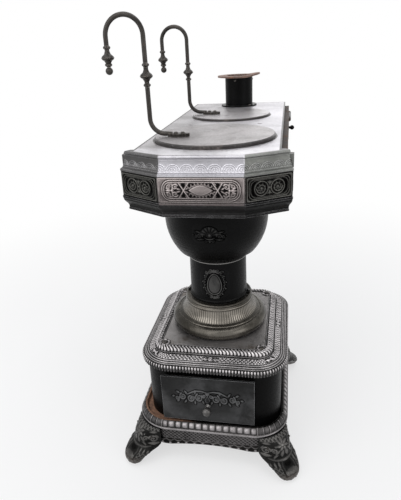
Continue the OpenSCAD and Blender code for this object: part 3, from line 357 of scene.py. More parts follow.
# each finish: its colour, its stains and the painted shade of its hollows, its rubbed parts, then
# what else it sets
FINISHES = {
    "plate_iron": ((0.5, 0.485, 0.5), (0.28, 0.268, 0.272), (0.66, 0.65, 0.68), dict(
        rust=(0.18, 0.145, 0.128), rusty=0.26, metal=0.8, edges=0.2, rust_scale=11.0,
        speckle=0.2, zones=PLATE_ZONES)),
    "dark_iron": ((0.05, 0.048, 0.046), (0.014, 0.014, 0.013), (0.4, 0.385, 0.38), dict(
        rusty=0.18, shine=0.85, gloss=0.2, speckle=0.15, zones=BASE_ZONES)),
    "fascia_plain": ((0.009, 0.0095, 0.0085), (0.004, 0.004, 0.004), (0.4, 0.39, 0.4), dict(
        shine=0.75, rough=0.34, metal=0.3, gloss=0.07, speckle=0.06, zones=FACET_LIGHT_ZONES)),
    "fascia_relief": ((0.02, 0.02, 0.018), (0.004, 0.004, 0.004), (0.56, 0.505, 0.495), dict(
        rusty=0.14, shine=0.75, gloss=0.15, relief=0.97, speckle=0.06, zones=FACET_LIGHT_ZONES,
        shade_and_dirt=PANEL_SHADE_AND_DIRT)),
    # the side facets' copy of fascia_relief, its colour and rubbed tops painted darker as shade
    "shaded_side_relief": ((0.009, 0.01, 0.0085), (0.003, 0.003, 0.003), (0.19, 0.185, 0.17), dict(
        rusty=0.14, shine=0.6, rough=0.34, metal=0.3, gloss=0.08, relief=0.96, speckle=0.05,
        zones=FACET_LIGHT_ZONES)),
    "arch_relief": ((0.1, 0.1, 0.1), (0.03, 0.03, 0.03), (0.66, 0.65, 0.68), dict(
        shine=0.25, gloss=0.3, relief=0.35, speckle=0.1, zones=FACET_LIGHT_ZONES)),
    "dark_relief": ((0.135, 0.128, 0.127), (0.016, 0.016, 0.016), (0.66, 0.63, 0.635), dict(
        shine=0.85, rough=0.33, metal=0.6, gloss=0.2, relief=0.9, speckle=0.12,
        shade_and_dirt=TEETH_SHADE)),
    "black_iron": (*BLACK, (0.12, 0.12, 0.12), dict(
        rust=BLACK_RUST, rusty=0.05, shine=0.6, rough=0.3, metal=0.0, gloss=0.07,
        speckle=0.03, zones=COLUMN_HIGHLIGHT)),
    "black_relief": (*BLACK, (0.19, 0.186, 0.18), dict(
        rust=BLACK_RUST, rusty=0.05, shine=0.6, rough=0.28, metal=0.0, gloss=0.08,
        relief=0.85, edges=0.2, speckle=0.03)),
    "bronze_iron": ((0.13, 0.12, 0.104), (0.03, 0.027, 0.022), (0.5, 0.46, 0.405), dict(
        shine=0.7, rough=0.27, metal=0.8, gloss=0.3, relief=0.92, grain=0.25, speckle=0.05)),
    "drawer_relief": (*DRAWER_GREY, (0.24, 0.24, 0.245), dict(
        rust=BLACK_RUST, rusty=0.1, rough=0.4, metal=0.3, gloss=0.15, relief=0.92,
        edges=0.2, speckle=0.05, zones=DRAWER_ZONES)),
    "drawer_iron": (*DRAWER_GREY, (0.36, 0.36, 0.37), dict(
        rust=BLACK_RUST, rusty=0.1, shine=0.9, rough=0.4, metal=0.3, gloss=0.15,
        speckle=0.05, zones=DRAWER_ZONES)),
    "drawer_rivet": ((0.034, 0.0345, 0.035), (0.012, 0.012, 0.012), (0.1, 0.1, 0.1), dict(
        rust=BLACK_RUST, rusty=0.1, rough=0.42, metal=0.3, gloss=0.15, edges=0.0,
        speckle=0.05)),
    "bright_iron": ((0.2, 0.195, 0.19), (0.06, 0.057, 0.055), (0.55, 0.54, 0.53), dict(
        shine=0.85, rough=0.28, metal=0.8, gloss=0.4, speckle=0.1)),
    "skirt_relief": ((0.06, 0.056, 0.055), (0.01, 0.01, 0.009), (0.44, 0.415, 0.42), dict(
        rust=(0.36, 0.2, 0.13), rusty=0.05, shine=0.85, rough=0.33, metal=0.6, gloss=0.2,
        relief=0.72, speckle=0.08)),
    "leg_relief": ((0.02, 0.0195, 0.0185), (0.005, 0.005, 0.0048), (0.165, 0.159, 0.152), dict(
        rusty=0.1, shine=0.7, rough=0.32, gloss=0.14, relief=0.9, speckle=0.06,
        zones=TOE_ZONES)),
    "rusty_iron": ((0.06, 0.05, 0.045), (0.026, 0.022, 0.02), (0.3, 0.25, 0.22), dict(
        rust=(0.16, 0.088, 0.055), rusty=0.42, shine=0.6, rough=0.6, metal=0.0, gloss=0.12)),
    "rusty_sheet": ((0.25, 0.16, 0.13), (0.12, 0.075, 0.06), (0.42, 0.32, 0.28), dict(
        rust=(0.3, 0.155, 0.1), rusty=0.5, shine=0.6, rough=0.6, metal=0.3)),
    "black_sheet": ((0.0034, 0.0034, 0.0037), (0.0016, 0.0016, 0.0016), (0.08, 0.08, 0.08), dict(
        rust=BLACK_RUST, rusty=0.05, rough=0.34, metal=0.0, gloss=0.06, speckle=0.025)),
    "turned_iron": ((0.05, 0.045, 0.04), (0.018, 0.016, 0.014), (0.34, 0.31, 0.28), dict(
        rust=(0.11, 0.065, 0.04), rusty=0.25, shine=0.7, rough=0.34, metal=0.65,
        rust_scale=40.0, speckle=0.15)),
}
MATS = {name: iron(name, base, deep, worn, **rest)
        for name, (base, deep, worn, rest) in FINISHES.items()}
OWN_FINISH = {"front_fascia": "fascia_plain", "drawer_front": "drawer_iron",
              "drawer_escutcheon": "drawer_iron", "drawer_rivets": "drawer_rivet",
              "drawer_knob": "bright_iron", "column_screws": "bright_iron"}

for part in frame["record"]["subparts"]:
    node = frame["nodes"].get(part["node"])
    if node is None:
        continue
    node.data.materials.clear()
    node.data.materials.append(MATS[OWN_FINISH.get(part["node"], part["material_slot"])])

# ---- relief patterns

def stroke(u, v, points, widths, height=1.0):
    """Rounded ridge along a line of points; widths are its half widths there."""
    points = np.asarray(points, float)
    widths = np.broadcast_to(np.asarray(widths, float), (len(points),))
    widest = widths.max()
    out = np.zeros(np.broadcast(u, v).shape)
    near = ((u > points[:, 0].min() - widest) & (u < points[:, 0].max() + widest)
            & (v > points[:, 1].min() - widest) & (v < points[:, 1].max() + widest))
    if not near.any():
        return out
    un, vn = np.broadcast_to(u, out.shape)[near], np.broadcast_to(v, out.shape)[near]
    best = np.zeros(un.shape)
    for (a, b, wa, wb) in zip(points[:-1], points[1:], widths[:-1], widths[1:]):
        d = b - a
        t = np.clip(((un - a[0]) * d[0] + (vn - a[1]) * d[1]) / max(d @ d, 1e-9), 0, 1)
        gap = np.hypot(un - a[0] - t * d[0], vn - a[1] - t * d[1])
        w = np.maximum(wa + (wb - wa) * t, 1e-3)
        best = np.maximum(best, np.sqrt(np.clip(1 - (gap / w) ** 2, 0, None))
                          * np.sqrt(w / widest))
    out[near] = best * height
    return out


def dot(u, v, x, y, r, height=1.0):
    return height * np.sqrt(np.clip(1 - ((u - x) ** 2 + (v - y) ** 2) / r ** 2, 0, None))


def rounded_box(u, v, half_u, half_v, r):
    """Signed distance to a rectangle with round corners, centred on the origin."""
    qu, qv = np.abs(u) - half_u + r, np.abs(v) - half_v + r
    return np.hypot(np.maximum(qu, 0), np.maximum(qv, 0)) + np.minimum(np.maximum(qu, qv), 0) - r


def ridge(gap, width, height=1.0):
    return height * np.sqrt(np.clip(1 - (gap / width) ** 2, 0, None))


def smooth(x, a, b):
    t = np.clip((x - a) / (b - a), 0, 1)
    return t * t * (3 - 2 * t)


def oval(u, v, a, b):
    """About the signed distance to an upright or lying oval."""
    k = np.hypot(u / a, v / b)
    grad = np.hypot(u / a ** 2, v / b ** 2) / np.maximum(k, 1e-6)
    return (k - 1) / np.maximum(grad, 1e-6)


def lattice(u, v, pitch_u, pitch_v, width):
    """Crossed diagonal ridges, with a small boss in each diamond."""
    p, q = u / pitch_u + v / pitch_v, u / pitch_u - v / pitch_v
    p, q = p - np.round(p), q - np.round(q)
    lines = np.maximum(ridge(p, width), ridge(q, width))
    boss = np.clip(1 - ((np.abs(p) - 0.5) ** 2 + (np.abs(q) - 0.5) ** 2) * 22, 0, 1)
    return np.maximum(lines, 0.7 * boss)


def bed(out, u, v, half_u, half_v, blur):
    """An ornament on its own ground, which sinks into the casting at its border."""
    inside = smooth(-rounded_box(u, v, half_u, half_v, min(half_u, half_v) * 0.6), 0, blur)
    return out * inside - 0.45 * (1 - inside)


def shade_outlined(raised, cells=3):
    """Plain ground with painted shade round the raised ornament."""
    wide = raised
    for _ in range(cells):
        pad = np.pad(wide, 1, mode="edge")
        wide = np.max([wide, pad[:-2, 1:-1], pad[2:, 1:-1], pad[1:-1, :-2], pad[1:-1, 2:]], axis=0)
    return np.maximum(0.36 * (1 - smooth(wide, 0.05, 0.4)), np.clip(raised, 0, 1))


def most(*layers):
    out = layers[0]
    for layer in layers[1:]:
        out = np.maximum(out, layer)
    return out


# a mirrored pair: the side, and the angle that points outwards there
MIRROR = ((-1, 180), (1, 0))


class Carving:
    """Ornament over the points (u, v): every call raises one shape, and the highest shows.
    Angles are in degrees, and turns and bends are signed."""

    def __init__(self, u, v):
        self.u, self.v = u, v
        self.out = np.zeros(np.broadcast(u, v).shape)

    def over(self, *layers):
        self.out = most(self.out, *layers)

    def stroke(self, points, widths, height=1.0):
        self.over(stroke(self.u, self.v, points, widths, height))

    def dot(self, x, y, r, height=1.0):
        self.over(dot(self.u, self.v, x, y, r, height))

    def scroll(self, x, y, r, start, turns, width, height=1.0):
        """A volute that thins towards its round eye."""
        t = np.linspace(0, 1, 26)
        a = np.radians(start) + 2 * np.pi * turns * t
        reach = r + (r * 0.22 - r) * t
        points = np.stack([x + reach * np.cos(a), y + reach * np.sin(a)], 1)
        self.stroke(points, np.linspace(width, width * 0.55, len(points)), height)
        self.dot(x, y, r * 0.24, height)

    def leaf(self, x, y, angle, length, width, bend=0.0, height=1.0):
        """A lens-shaped leaf from (x, y), its tip bent sideways."""
        t = np.linspace(0, 1, 9)
        a = np.radians(angle)
        side = bend * length * t * t
        px = x + length * t * np.cos(a) - side * np.sin(a)
        py = y + length * t * np.sin(a) + side * np.cos(a)
        self.stroke(np.stack([px, py], 1), width * np.sin(np.pi * (0.12 + 0.86 * t)), height)

    def petal(self, angle, start, length, width, height=1.0):
        """A round-ended petal that widens away from the origin."""
        a = math.radians(angle)
        reach = np.linspace(start, start + length, 6)
        points = np.stack([reach * math.cos(a), reach * math.sin(a)], 1)
        self.stroke(points, np.linspace(0.35, 1.0, 6) * width, height)


# ---- skins

def resample(points, step):
    points = np.asarray(points, float)
    run = np.concatenate([[0], np.cumsum(np.hypot(*np.diff(points, axis=0).T))])
    count = max(int(round(run[-1] / step)), 2)
    at_run = np.linspace(0, run[-1], count + 1)
    return np.stack([np.interp(at_run, run, points[:, k]) for k in (0, 1)], 1), at_run


def outward(points):
    """Normals of a profile, on its left-hand side as it runs."""
    d = np.gradient(points, axis=0)
    n = np.stack([-d[:, 1], d[:, 0]], 1)
    return n / np.maximum(np.linalg.norm(n, axis=1)[:, None], 1e-9)


def show(name, data):
    obj = bpy.data.objects.new(name, data)
    bpy.context.scene.collection.objects.link(obj)
    return obj


def tube(name, rings, material, body, relief, rust=None, closed=False, backwards=False):
    """A closed piece of rings of points, capped at both ends unless the last ring meets the
    first, with its faces turned outwards. backwards is for rings that run the other way."""
    n, k = rings.shape[:2]
    i = np.arange(n if closed else n - 1)[:, None]
    j = np.arange(k)[None]
    after, beside = (i + 1) % n * k, (j + 1) % k
    corners = np.broadcast_arrays(i * k + j, after + j, after + beside, i * k + beside)
    if backwards:
        corners = [corners[c] for c in (0, 3, 2, 1)]
    faces = np.stack(corners, -1).reshape(-1, 4).tolist()
    if not closed:
        last = list(range((n - 1) * k, n * k))
        faces += [list(range(k)), last if backwards else last[::-1]]
    mesh = bpy.data.meshes.new(name)
    mesh.from_pydata([tuple(p) for p in at(rings.reshape(-1, 3))], [], faces)
    mesh.validate()
    mesh.polygons.foreach_set("use_smooth", [True] * len(mesh.polygons))
    for key, values in (("relief", relief), ("rust", rust)):
        if values is not None:
            layer = mesh.attributes.new(key, "FLOAT", "POINT")
            layer.data.foreach_set("value", np.asarray(values.reshape(-1), np.float32))
    mesh.materials.append(MATS[material])
    bm = bmesh.new()
    bm.from_mesh(mesh)
    bmesh.ops.recalc_face_normals(bm, faces=bm.faces)
    bm.to_mesh(mesh)
    bm.free()
    obj = show(name, mesh)
    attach(obj, body)
    return obj


def skin(name, stations, profile, pattern, height, material="dark_relief", body="stove",
         closed=False, step=1.0, base=0.25, depth=1.6, section=None, rust=None, tone=None):
    """Sweeps a profile of (distance out, height above the floor) along stations of
    (x, y, outward x, outward y, run) and raises it by pattern(run, profile run) x height.
    section closes the back with its own points; without it the back lies depth inside.
    tone turns the raised pattern into the material's relief."""
    stations = np.asarray(stations, float)
    points, run = resample(profile, step)
    normal = outward(points)
    raised = pattern(stations[:, 4][:, None], run[None, :]) * np.ones((len(stations), len(run)))
    lift = base + raised * height
    if section is None:
        pick = np.unique(np.r_[np.arange(0, len(points), 8), len(points) - 1])[::-1]
        back = points[pick] - depth * normal[pick]
    else:
        back = np.asarray(section, float)
    front = points[None] + normal[None] * lift[..., None]
    ring = np.concatenate([front, np.broadcast_to(back, (len(stations),) + back.shape)], 1)
    x = stations[:, 0][:, None] + ring[..., 0] * stations[:, 2][:, None]
    y = stations[:, 1][:, None] + ring[..., 0] * stations[:, 3][:, None]
    flat = np.zeros((len(stations), len(back)))
    relief = np.concatenate([np.clip(raised, 0, 1) if tone is None else tone(raised), flat], 1)
    if rust is not None:
        rusted = rust(stations[:, 4][:, None], run[None, :]) * np.ones(raised.shape)
        rust = np.concatenate([rusted, flat], 1)
    return tube(name, np.stack([x, y, ring[..., 1]], -1), material, body, relief, rust, closed)


def facet_stations(start, end, normal, mitre_start, mitre_end, step):
    """Stations on a flat facet whose width grows with the distance out at mitred ends."""
    start, end, normal = (np.asarray(p, float) for p in (start, end, normal))
    along = end - start
    length = np.hypot(*along)
    along = along / length
    f = np.linspace(0, 1, int(round(length / step)) + 1)[:, None]
    out = normal + along * (mitre_end * f - mitre_start * (1 - f))
    return np.concatenate([start + f * (end - start), out, (f - 0.5) * length], 1)


def around(turn, run, x=0, y=0):
    """Stations that look outwards from an upright axis."""
    return np.stack([x + 0 * turn, y + 0 * turn, np.cos(turn), np.sin(turn), run], 1)


def arc_stations(radius, middle, half_span, step):
    span = np.radians(half_span)
    a = np.linspace(-span, span, int(round(2 * span * radius / step)) + 1)
    return around(np.radians(middle) + a, a * radius)


def frame_stations(half_x, half_y, r, step, shift=0.0):
    """Stations round a rounded rectangle, from the middle of its front, run measured at r."""
    cx, cy, quarter = half_x - r, half_y - r, np.pi * r / 2
    ends = [np.array(p, float) for p in
            ((0, -cy), (cx, -cy), (cx, cy), (-cx, cy), (-cx, -cy), (0, -cy))]
    rows, run = [], 0.0
    for k, (a, b) in enumerate(zip(ends, ends[1:])):
        length = np.hypot(*(b - a))
        turn = np.radians(90 * k - 90)
        for t in np.linspace(0, 1, max(int(round(length / step)), 1), endpoint=False):
            p = a + t * (b - a)
            rows.append((p[0] + shift, p[1], np.cos(turn), np.sin(turn), run + t * length))
        run += length
        if k == 4:
            return np.array(rows), run
        for t in np.linspace(0, 1, int(round(quarter / step)), endpoint=False):
            turn = np.radians(90 * k - 90 + 90 * t)
            rows.append((b[0] + shift, b[1], np.cos(turn), np.sin(turn), run + t * quarter))
        run += quarter


def middles(half_x, half_y, r):
    """Runs of the four side middles and the four corner middles of frame_stations."""
    cx, cy, quarter = half_x - r, half_y - r, np.pi * r / 2
    sides = [0, cx + quarter + cy, 2 * cx + 2 * quarter + 2 * cy, 3 * cx + 3 * quarter + 3 * cy]
    corners = [cx + quarter / 2, cx + quarter * 1.5 + 2 * cy,
               3 * cx + quarter * 2.5 + 2 * cy, 3 * cx + quarter * 3.5 + 4 * cy]
    return sides, corners


# ---- fascia

# how far out the carved panels lie, and the middle of their height
PANEL_OUT, PANEL_MIDDLE = 16, 25.75
FACET = math.atan2(LIP_FRONT - LIP_END, LIP_HALF - LIP_FRONT_HALF)
MITRE = math.tan(FACET / 2)


def cove(x, z, wide, tall, step):
    """Profile points of a hollow quarter that runs down and out."""
    angles = [math.radians(a) for a in range(0, 91, step)]
    return [(x + wide * (1 - math.cos(a)), z - tall * math.sin(a)) for a in angles]


def arc(x, z, wide, tall, angles):
    return [(x + wide * math.cos(math.radians(a)), z + tall * math.sin(math.radians(a)))
            for a in angles]


CAVETTO = cove(1, PLATE_TOP - 8, 14, 25, 6)


def scallops(u, v, length, count):
    """Overlapping double arches on a row, with a leaf tip between and a zigzag below."""
    pitch = length / count
    out = np.zeros(np.broadcast(u, v).shape)
    x = ((u / pitch + 0.5 * (count % 2 == 0)) % 1.0 - 0.5) * pitch
    foot = 21.5
    for reach, width in ((pitch * 0.5, 0.95), (pitch * 0.36, 0.8), (pitch * 0.2, 0.8)):
        for off in (-pitch, 0, pitch):
            gap = np.hypot(x - off, (v - foot) * 1.12) - reach
            out = np.maximum(out, ridge(gap, width) * (v < foot))
    tooth = foot + 2.2 + 3.0 * np.abs((u / (pitch / 4)) % 1.0 - 0.5)
    return most(out, 0.8 * dot(x, v, 0, foot - 1.5, 1.6), ridge(v - tooth, 0.9, 0.8))


def spandrels(u, v, half_u, half_v, r):
    """Fans of leaves in the four corners outside a rounded frame."""
    c = Carving(u, v)
    for su, sv in ((-1, -1), (-1, 1), (1, -1), (1, 1)):
        inwards = math.degrees(math.atan2(sv, su)) + 180
        for spread in (-36, 0, 36):
            c.leaf(su * (half_u - 1.0), sv * (half_v - 1.0), inwards + spread, r * 0.34, 1.1,
                   0, 0.8)
    return c.out


# the front panel's quarter: scrolls (x, y, r, start, turns, width, height) and leaves
# (x, y, angle, swing, length, width, bend, height)
FRONT_SCROLLS = ((51.5, 7.2, 6.2, 150, -1.3, 1.5, 1.0), (63.5, 8.0, 4.6, -40, 1.2, 1.25, 1.0),
                 (27.5, 11.0, 3.0, 90, -1.1, 0.9, 0.8), (40.5, 13.0, 2.6, -90, 1.1, 0.8, 0.8))
FRONT_LEAVES = ((41, 1.5, 0, 24, 9, 1.8, 0.2, 0.8), (30, 2.0, 180, -30, 7, 1.5, 0, 0.75),
                (62, 3.0, 0, 16, 10, 2.0, 0.1, 0.9), (56, 12.5, 0, 4, 10, 1.7, -0.2, 0.75))


def front_panel(u, v):
    """Nested bands round a recess with a plain lens between crossed straps and leafy scrolls."""
    v = v - PANEL_MIDDLE
    gap = rounded_box(u, v, 80.0, 22.8, 19.5)
    frames = most(smooth(gap, 0.3, 1.2) * 0.56, ridge(rounded_box(u, v, 84.5, 24.2, 2), 1.1, 0.9),
                  ridge(gap + 2.1, 1.45, 0.95), ridge(gap + 6.1, 1.25, 0.9))
    lens = (np.abs(v) - 11.2 * (1 - np.clip(np.abs(u) / 24.5, 0, 1.4) ** 1.8)) * 0.8
    boss = 0.66 * smooth(-lens, -0.5, 0.9) + 0.1 * ridge(lens + 1.8, 0.8)
    cusps, c = Carving(u, v), Carving(u, v)
    for side in (-1, 1):
        for k in range(-3, 4):
            x = 7.0 * k + 1.2 * side
            y = side * (14.6 - 0.013 * x * x)
            arch = np.hypot(u - x, v - y) - 3.5 + 0.3 * (k % 2)
            cusps.over(ridge(arch, 1.15, 0.72) * (v * side < y * side + 0.6))
        a = 0 if side > 0 else 180
        for way in (-1, 1):
            strap = ((24, -15.5), (29, -8), (39, 8), (44, 15.5))
            c.stroke([(side * x, way * y) for x, y in strap], 1.35, 0.95)
            for x, y, r, start, turns, width, height in FRONT_SCROLLS:
                c.scroll(side * x, way * y, r, a + start * side * way, turns * side * way,
                         width, height)
            for x, y, turn, swing, length, width, bend, height in FRONT_LEAVES:
                c.leaf(side * x, way * y, a + turn + swing * side * way, length, width,
                       bend * way, height)
            c.leaf(side * 46, way * 13.0, a + 10 * side * way, 6, 1.3, 0.2, 0.7)
        stem = ((57.5, -14), (56.5, -6), (57.5, 0), (56.5, 6), (57.5, 14))
        c.stroke([(side * x, y) for x, y in stem], [1.2, 1.9, 1.5, 1.9, 1.2], 0.9)
        c.leaf(side * 59, 0, a, 13, 2.3, 0, 0.95)
        c.dot(side * 57.5, 0, 2.9)
        c.dot(side * 34, 0, 2.2)
    recess = smooth(-gap, 6.4, 7.6)
    return most(frames, boss, cusps.out * smooth(lens, 0.2, 0.8) * recess, c.out * recess,
                spandrels(u, v, 84.0, 23.0, 20))


def side_panel(u, v):
    """Two wheels with a leafy scroll in each, and a stem of leaves between them."""
    v = v - PANEL_MIDDLE
    half_u, half_v = 48.5, 23.0
    c = Carving(u, v)
    for inset_u, inset_v, r, width, height in ((0, 0, 2, 1.3, 1.0), (4.0, 3, 11, 1.0, 0.9),
                                               (7.4, 5.2, 14, 0.9, 0.8)):
        c.over(ridge(rounded_box(u, v, half_u - inset_u, half_v - inset_v, r), width, height))
    for side in (-1, 1):
        x = side * 18.0
        c.over(ridge(np.hypot(u - x, v) - 14.6, 1.3))
        c.scroll(x, 0, 10.6, 90 - 90 * side, 1.7 * side, 1.35)
        for k in range(8):
            a = 45 * k + 22
            c.leaf(x + 5.2 * math.cos(math.radians(a)), 5.2 * math.sin(math.radians(a)), a,
                   6.6, 1.7, 0.25 * side, 0.7)
        c.dot(x, 0, 3.1)
        c.leaf(0, side * 4, 90 * side, 12, 2.6, 0, 0.9)
        for turn in (1, -1):
            c.leaf(0, side * 8, 90 * side + 40 * turn, 9, 1.7, 0.2 * turn, 0.8)
    c.dot(0, 0, 2.6)
    return most(c.out, spandrels(u, v, half_u, half_v, 17) * 0.9)


def fascia():
    corner = (LIP_FRONT_HALF, -LIP_FRONT)
    facets = [("front", (-corner[0], corner[1]), corner, (0, -1), MITRE, MITRE, front_panel, 6)]
    for side, label in ((-1, "left"), (1, "right")):
        normal = (side * math.sin(FACET), -math.cos(FACET))
        near, far = (side * corner[0], corner[1]), (side * LIP_HALF, -LIP_END)
        ends = (far, near, normal, 0, MITRE) if side < 0 else (near, far, normal, MITRE, 0)
        facets.append((label, *ends, side_panel, 4))
    for label, start, end, normal, m0, m1, panel, count in facets:
        length = math.dist(start, end)
        stations = facet_stations(start, end, normal, m0, m1, 0.8)
        skin(label + "_fascia_arches", stations, CAVETTO,
             lambda s, t, c=count, l=length: scallops(s, t, l, c), 1.6, "arch_relief", step=0.75)
        wide = 1 + PANEL_OUT * (m0 + m1) / length
        # the side facets take the copy that is painted darker as shade
        finish = "fascia_relief" if label == "front" else "shaded_side_relief"
        skin(label + "_fascia_panel", stations,
             [(PANEL_OUT, PLATE_TOP - 39.6), (PANEL_OUT, PLATE_TOP - 90.9)],
             lambda s, t, w=wide, p=panel: p(s * w, t), 2.6, finish, step=0.75, base=0.6)


# ---- pot and column

def pot_out(z):
    drop = (600 - 514) / math.sqrt(1 - (97 / 126) ** 2)
    return 126 * math.sqrt(1 - ((600 - z) / drop) ** 2) if z < 600 else 126.0


def palmette(u, v):
    """A fan of round petals over a boss and a cup, with side scrolls; v runs down."""
    v = v - 38.0
    c = Carving(u, v)
    for k in range(-3, 4):
        c.petal(-90 + 27 * k, 6.5, 11.0 - 0.2 * k * k, 3.5, 0.85)
    for k in (-2.5, -1.5, -0.5, 0.5, 1.5, 2.5):
        c.petal(-90 + 27 * k, 15.5, 4.0, 1.7, 0.6)
    c.dot(0, 0, 4.2)
    c.over(ridge(np.hypot(u, v) - 5.6, 0.9, 0.7))
    c.stroke([(-11, 6.5), (-6, 9.2), (0, 10.2), (6, 9.2), (11, 6.5)], [0.9, 1.5, 1.9, 1.5, 0.9])
    for side, a in MIRROR:
        c.scroll(side * 21, 2.5, 6.2, a + 180, 1.3 * side, 1.6, 0.8)
        c.scroll(side * 30.5, 4.5, 4.0, a - 90 * side, -1.2 * side, 1.2, 0.75)
        c.scroll(side * 9, 15.5, 3.4, a + 90 * side, 1.1 * side, 1.1, 0.7)
        c.leaf(side * 18, -5, a - 22 * side, 15, 2.4, 0.15 * side, 0.75)
        c.leaf(side * 12, 10, a + 12 * side, 20, 2.2, -0.12 * side, 0.75)
        c.dot(side * 3.4, 14.5, 1.6, 0.8)
        c.dot(side * 36.0, 0.5, 1.5, 0.8)
    c.leaf(0, 12.5, 90, 8, 2.2, 0, 0.8)
    return bed(0.8 * c.out, u, v + 2, 44, 29, 9)


def medallion(u, v):
    """An upright oval in a wreath, with a crest above and a tassel below."""
    v = v - 48.0
    gap = oval(u * (1 - 0.007 * v), v, 15.5, 26.0)
    c = Carving(u, v)
    for k in range(26):
        a = 2 * math.pi * (k + 0.5) / 26
        x, y = 26.5 * math.cos(a), 36 * math.sin(a)
        lean = math.degrees(math.atan2(y * 0.75, x))
        if k % 2:
            c.dot(x * 1.12, y * 1.03, 2.0)
        way = 1 if x > 0 else -1
        c.dot(x * 0.9, y * 0.93, 1.5, 0.95)
        c.leaf(x * 0.88, y * 0.9, lean + 62 * way, 9.0, 2.0, 0.25, 0.62)
        c.leaf(x * 0.88, y * 0.9, lean - 30 * way, 8.0, 1.7, -0.2, 0.55)
    for side in (-1, 1):
        c.scroll(side * 9, -36, 5.4, 90, 1.25 * side, 1.3)
        c.scroll(side * 19, -32, 4.6, 0, -1.2 * side, 1.1)
        c.scroll(side * 9, 35, 5.0, -90, -1.2 * side, 1.2)
    for k in (-2, -1, 0, 1, 2):
        c.leaf(0, -31, -90 + 27 * k, 12.5 - abs(k), 2.1, 0, 0.95)
    for k in (-1, 0, 1):
        c.leaf(0, 32, 90 + 24 * k, 12, 2.2, 0, 0.95)
    plain = most(0.72 * smooth(-gap, -0.4, 2.6), ridge(gap - 1.6, 1.5))
    return bed(most(plain, c.out * smooth(gap, 2.2, 3.6)), u, v, 44, 46.8, 8)


def pot_and_column():
    carved = dict(material="black_relief", step=0.75, base=0.22, tone=shade_outlined)
    skin("pot_palmette", arc_stations(120, -89.2, 22, 0.75),
         [(pot_out(z), z) for z in np.linspace(628, 556, 30)], palmette, 2.2, **carved)
    skin("column_medallion", arc_stations(73, -90.0, 36, 0.75), [(71.55, 487), (72.5, 391.5)],
         medallion, 2.4, **carved)


# ---- ring, base, drawer, skirt

def column_ring():
    """The ring under the column: seat, beads, fluted hollow and a heavy round."""
    top = [(71, 384), (82, 384), (84.2, 383.2), (85, 381.6), (85, 379.6), (83.6, 377.8),
           (84.4, 376.0)]
    beads = [(103.2, 337.6), (105.2, 337.2), (106.2, 336.2), (106.4, 335.0)]
    profile = [*top, *cove(86, 375, 16, 37, 5), *beads, *arc(107, 320, 16, 16, range(88, -91, -6))]
    points, run = resample(profile, 1.25)
    first = run[np.argmin(np.abs(points[:, 1] - 374) + np.abs(points[:, 0] - 86))]
    last = run[np.argmin(np.abs(points[:, 1] - 339) + np.abs(points[:, 0] - 101))]

    def flutes(s, t):
        fade = smooth(t, first + 5, first + 8) * smooth(last - t, 0.5, 3)
        wave = (s / (2 * math.pi * FLUTE_R) * FLUTES) % 1 - 0.5
        tongue = ridge(wave, 0.4) * smooth(last - t, 1, 7)
        return 0.38 + 0.34 * tongue * fade + 0.5 * ridge(t - first - 2.4, 1.3)

    a = np.linspace(0, 2 * np.pi, 8 * FLUTES, endpoint=False)
    back = [(96, 304.2), (95, 306), (70, 360), (66, 366), (64, 384)]
    ring = skin("fluted_ring", around(a, a * FLUTE_R), profile, flutes, 1.3, "bronze_iron",
                closed=True, step=1.25, base=0.0, section=back)
    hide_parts("column_ring")


def base_reliefs():
    sides, corners = middles(*BORDER)
    stations, total = frame_stations(*BORDER, 1.45)
    pitch = total / round(total / 7.4)

    def slope(s, t):
        """Lattice with a rosette at each middle and a leaf at each corner, then three beads."""
        v = t - 8.2
        side, corner = min_gap(s, sides, total), min_gap(s, corners, total)
        ground = lattice(s, v, 9.4, 8.4, 0.24) * 0.95 * (np.abs(v) < 6.6)
        ground = ground * smooth(np.abs(side), 14, 19) * smooth(np.abs(corner), 16, 21)
        rosette, bend = Carving(side, v), Carving(corner, v)
        rosette.dot(0, 0, 3.0)
        rosette.over(ridge(np.hypot(side, v) - 4.6, 1.2), ridge(np.abs(v) - 7.2, 0.9, 0.7))
        for k in range(6):
            rosette.leaf(0, 0, 60 * k, 6.6, 1.7, 0, 0.7)
        for way, a in MIRROR:
            rosette.leaf(way * 7, 0, a, 12, 3.2, 0, 0.9)
            for turn in (-1, 1):
                rosette.leaf(way * 7, 0, a + 28 * turn, 10, 2.0, 0.2 * turn, 0.8)
            bend.leaf(way * 2, 1, a + 12, 18, 3.0, 0.1 * way, 0.95)
            bend.leaf(way * 2, 1, a - 26, 13, 2.2, -0.2 * way, 0.8)
            bend.scroll(way * 6, -2.5, 3.6, a, 1.2 * way, 1.0)
        bend.dot(0, 0, 3.0)
        return most(ground, rosette.out, bend.out)

    def edge(s, t):
        point = 0.32 - 0.2 * smooth(t, 38.0, 44.0)
        tooth = ridge((s / pitch) % 1 - 0.5, point) * smooth(t, 32.5, 34.5)
        return most(slope(s, t) * (t < 16), ridge(t - 19.2, 1.3, 0.8), ridge(t - 24.6, 1.4, 0.8),
                    ridge(t - 29.6, 1.3, 0.8), tooth)

    profile = [(44.5, 290.9), (60, 286), (62, 285.6), (64.5, 283.4), (66.5, 283.0), (69.5, 280.2),
               (71, 279.9), (73.4, 279), (76, 277.4), (77, 275.5), (77, 272.2), (75.4, 270.2),
               (75.8, 263.0)]
    skin("base_border", stations, profile, edge, 1.9, closed=True, step=1.1, base=0.3, depth=1.4)

    inner, length = frame_stations(*RAISED_EDGE, 1.2)
    ribs = round(length / 8.6)

    def gadroons(s, t):
        slant = s - 0.55 * t + 1.5 * np.sin((t - 4) / 16 * 2 * np.pi)
        wave = (slant / length * ribs) % 1 - 0.5
        rib = ridge(wave, 0.37) * smooth(t, 3.5, 6.0) * smooth(23.0 - t, 0, 2.4)
        return most(rib, ridge(t - 1.2, 1.1, 0.6), ridge(t - 25.4, 1.2, 0.7))

    shoulder = [(20.5, 304), (33.0, 304), (34.6, 303.3), (36.0, 302.0), (37.2, 300.2),
                (38, 298), (38, 291.5)]
    skin("raised_edge", inner, shoulder, gadroons, 2.4, closed=True, step=0.9, depth=1.4)


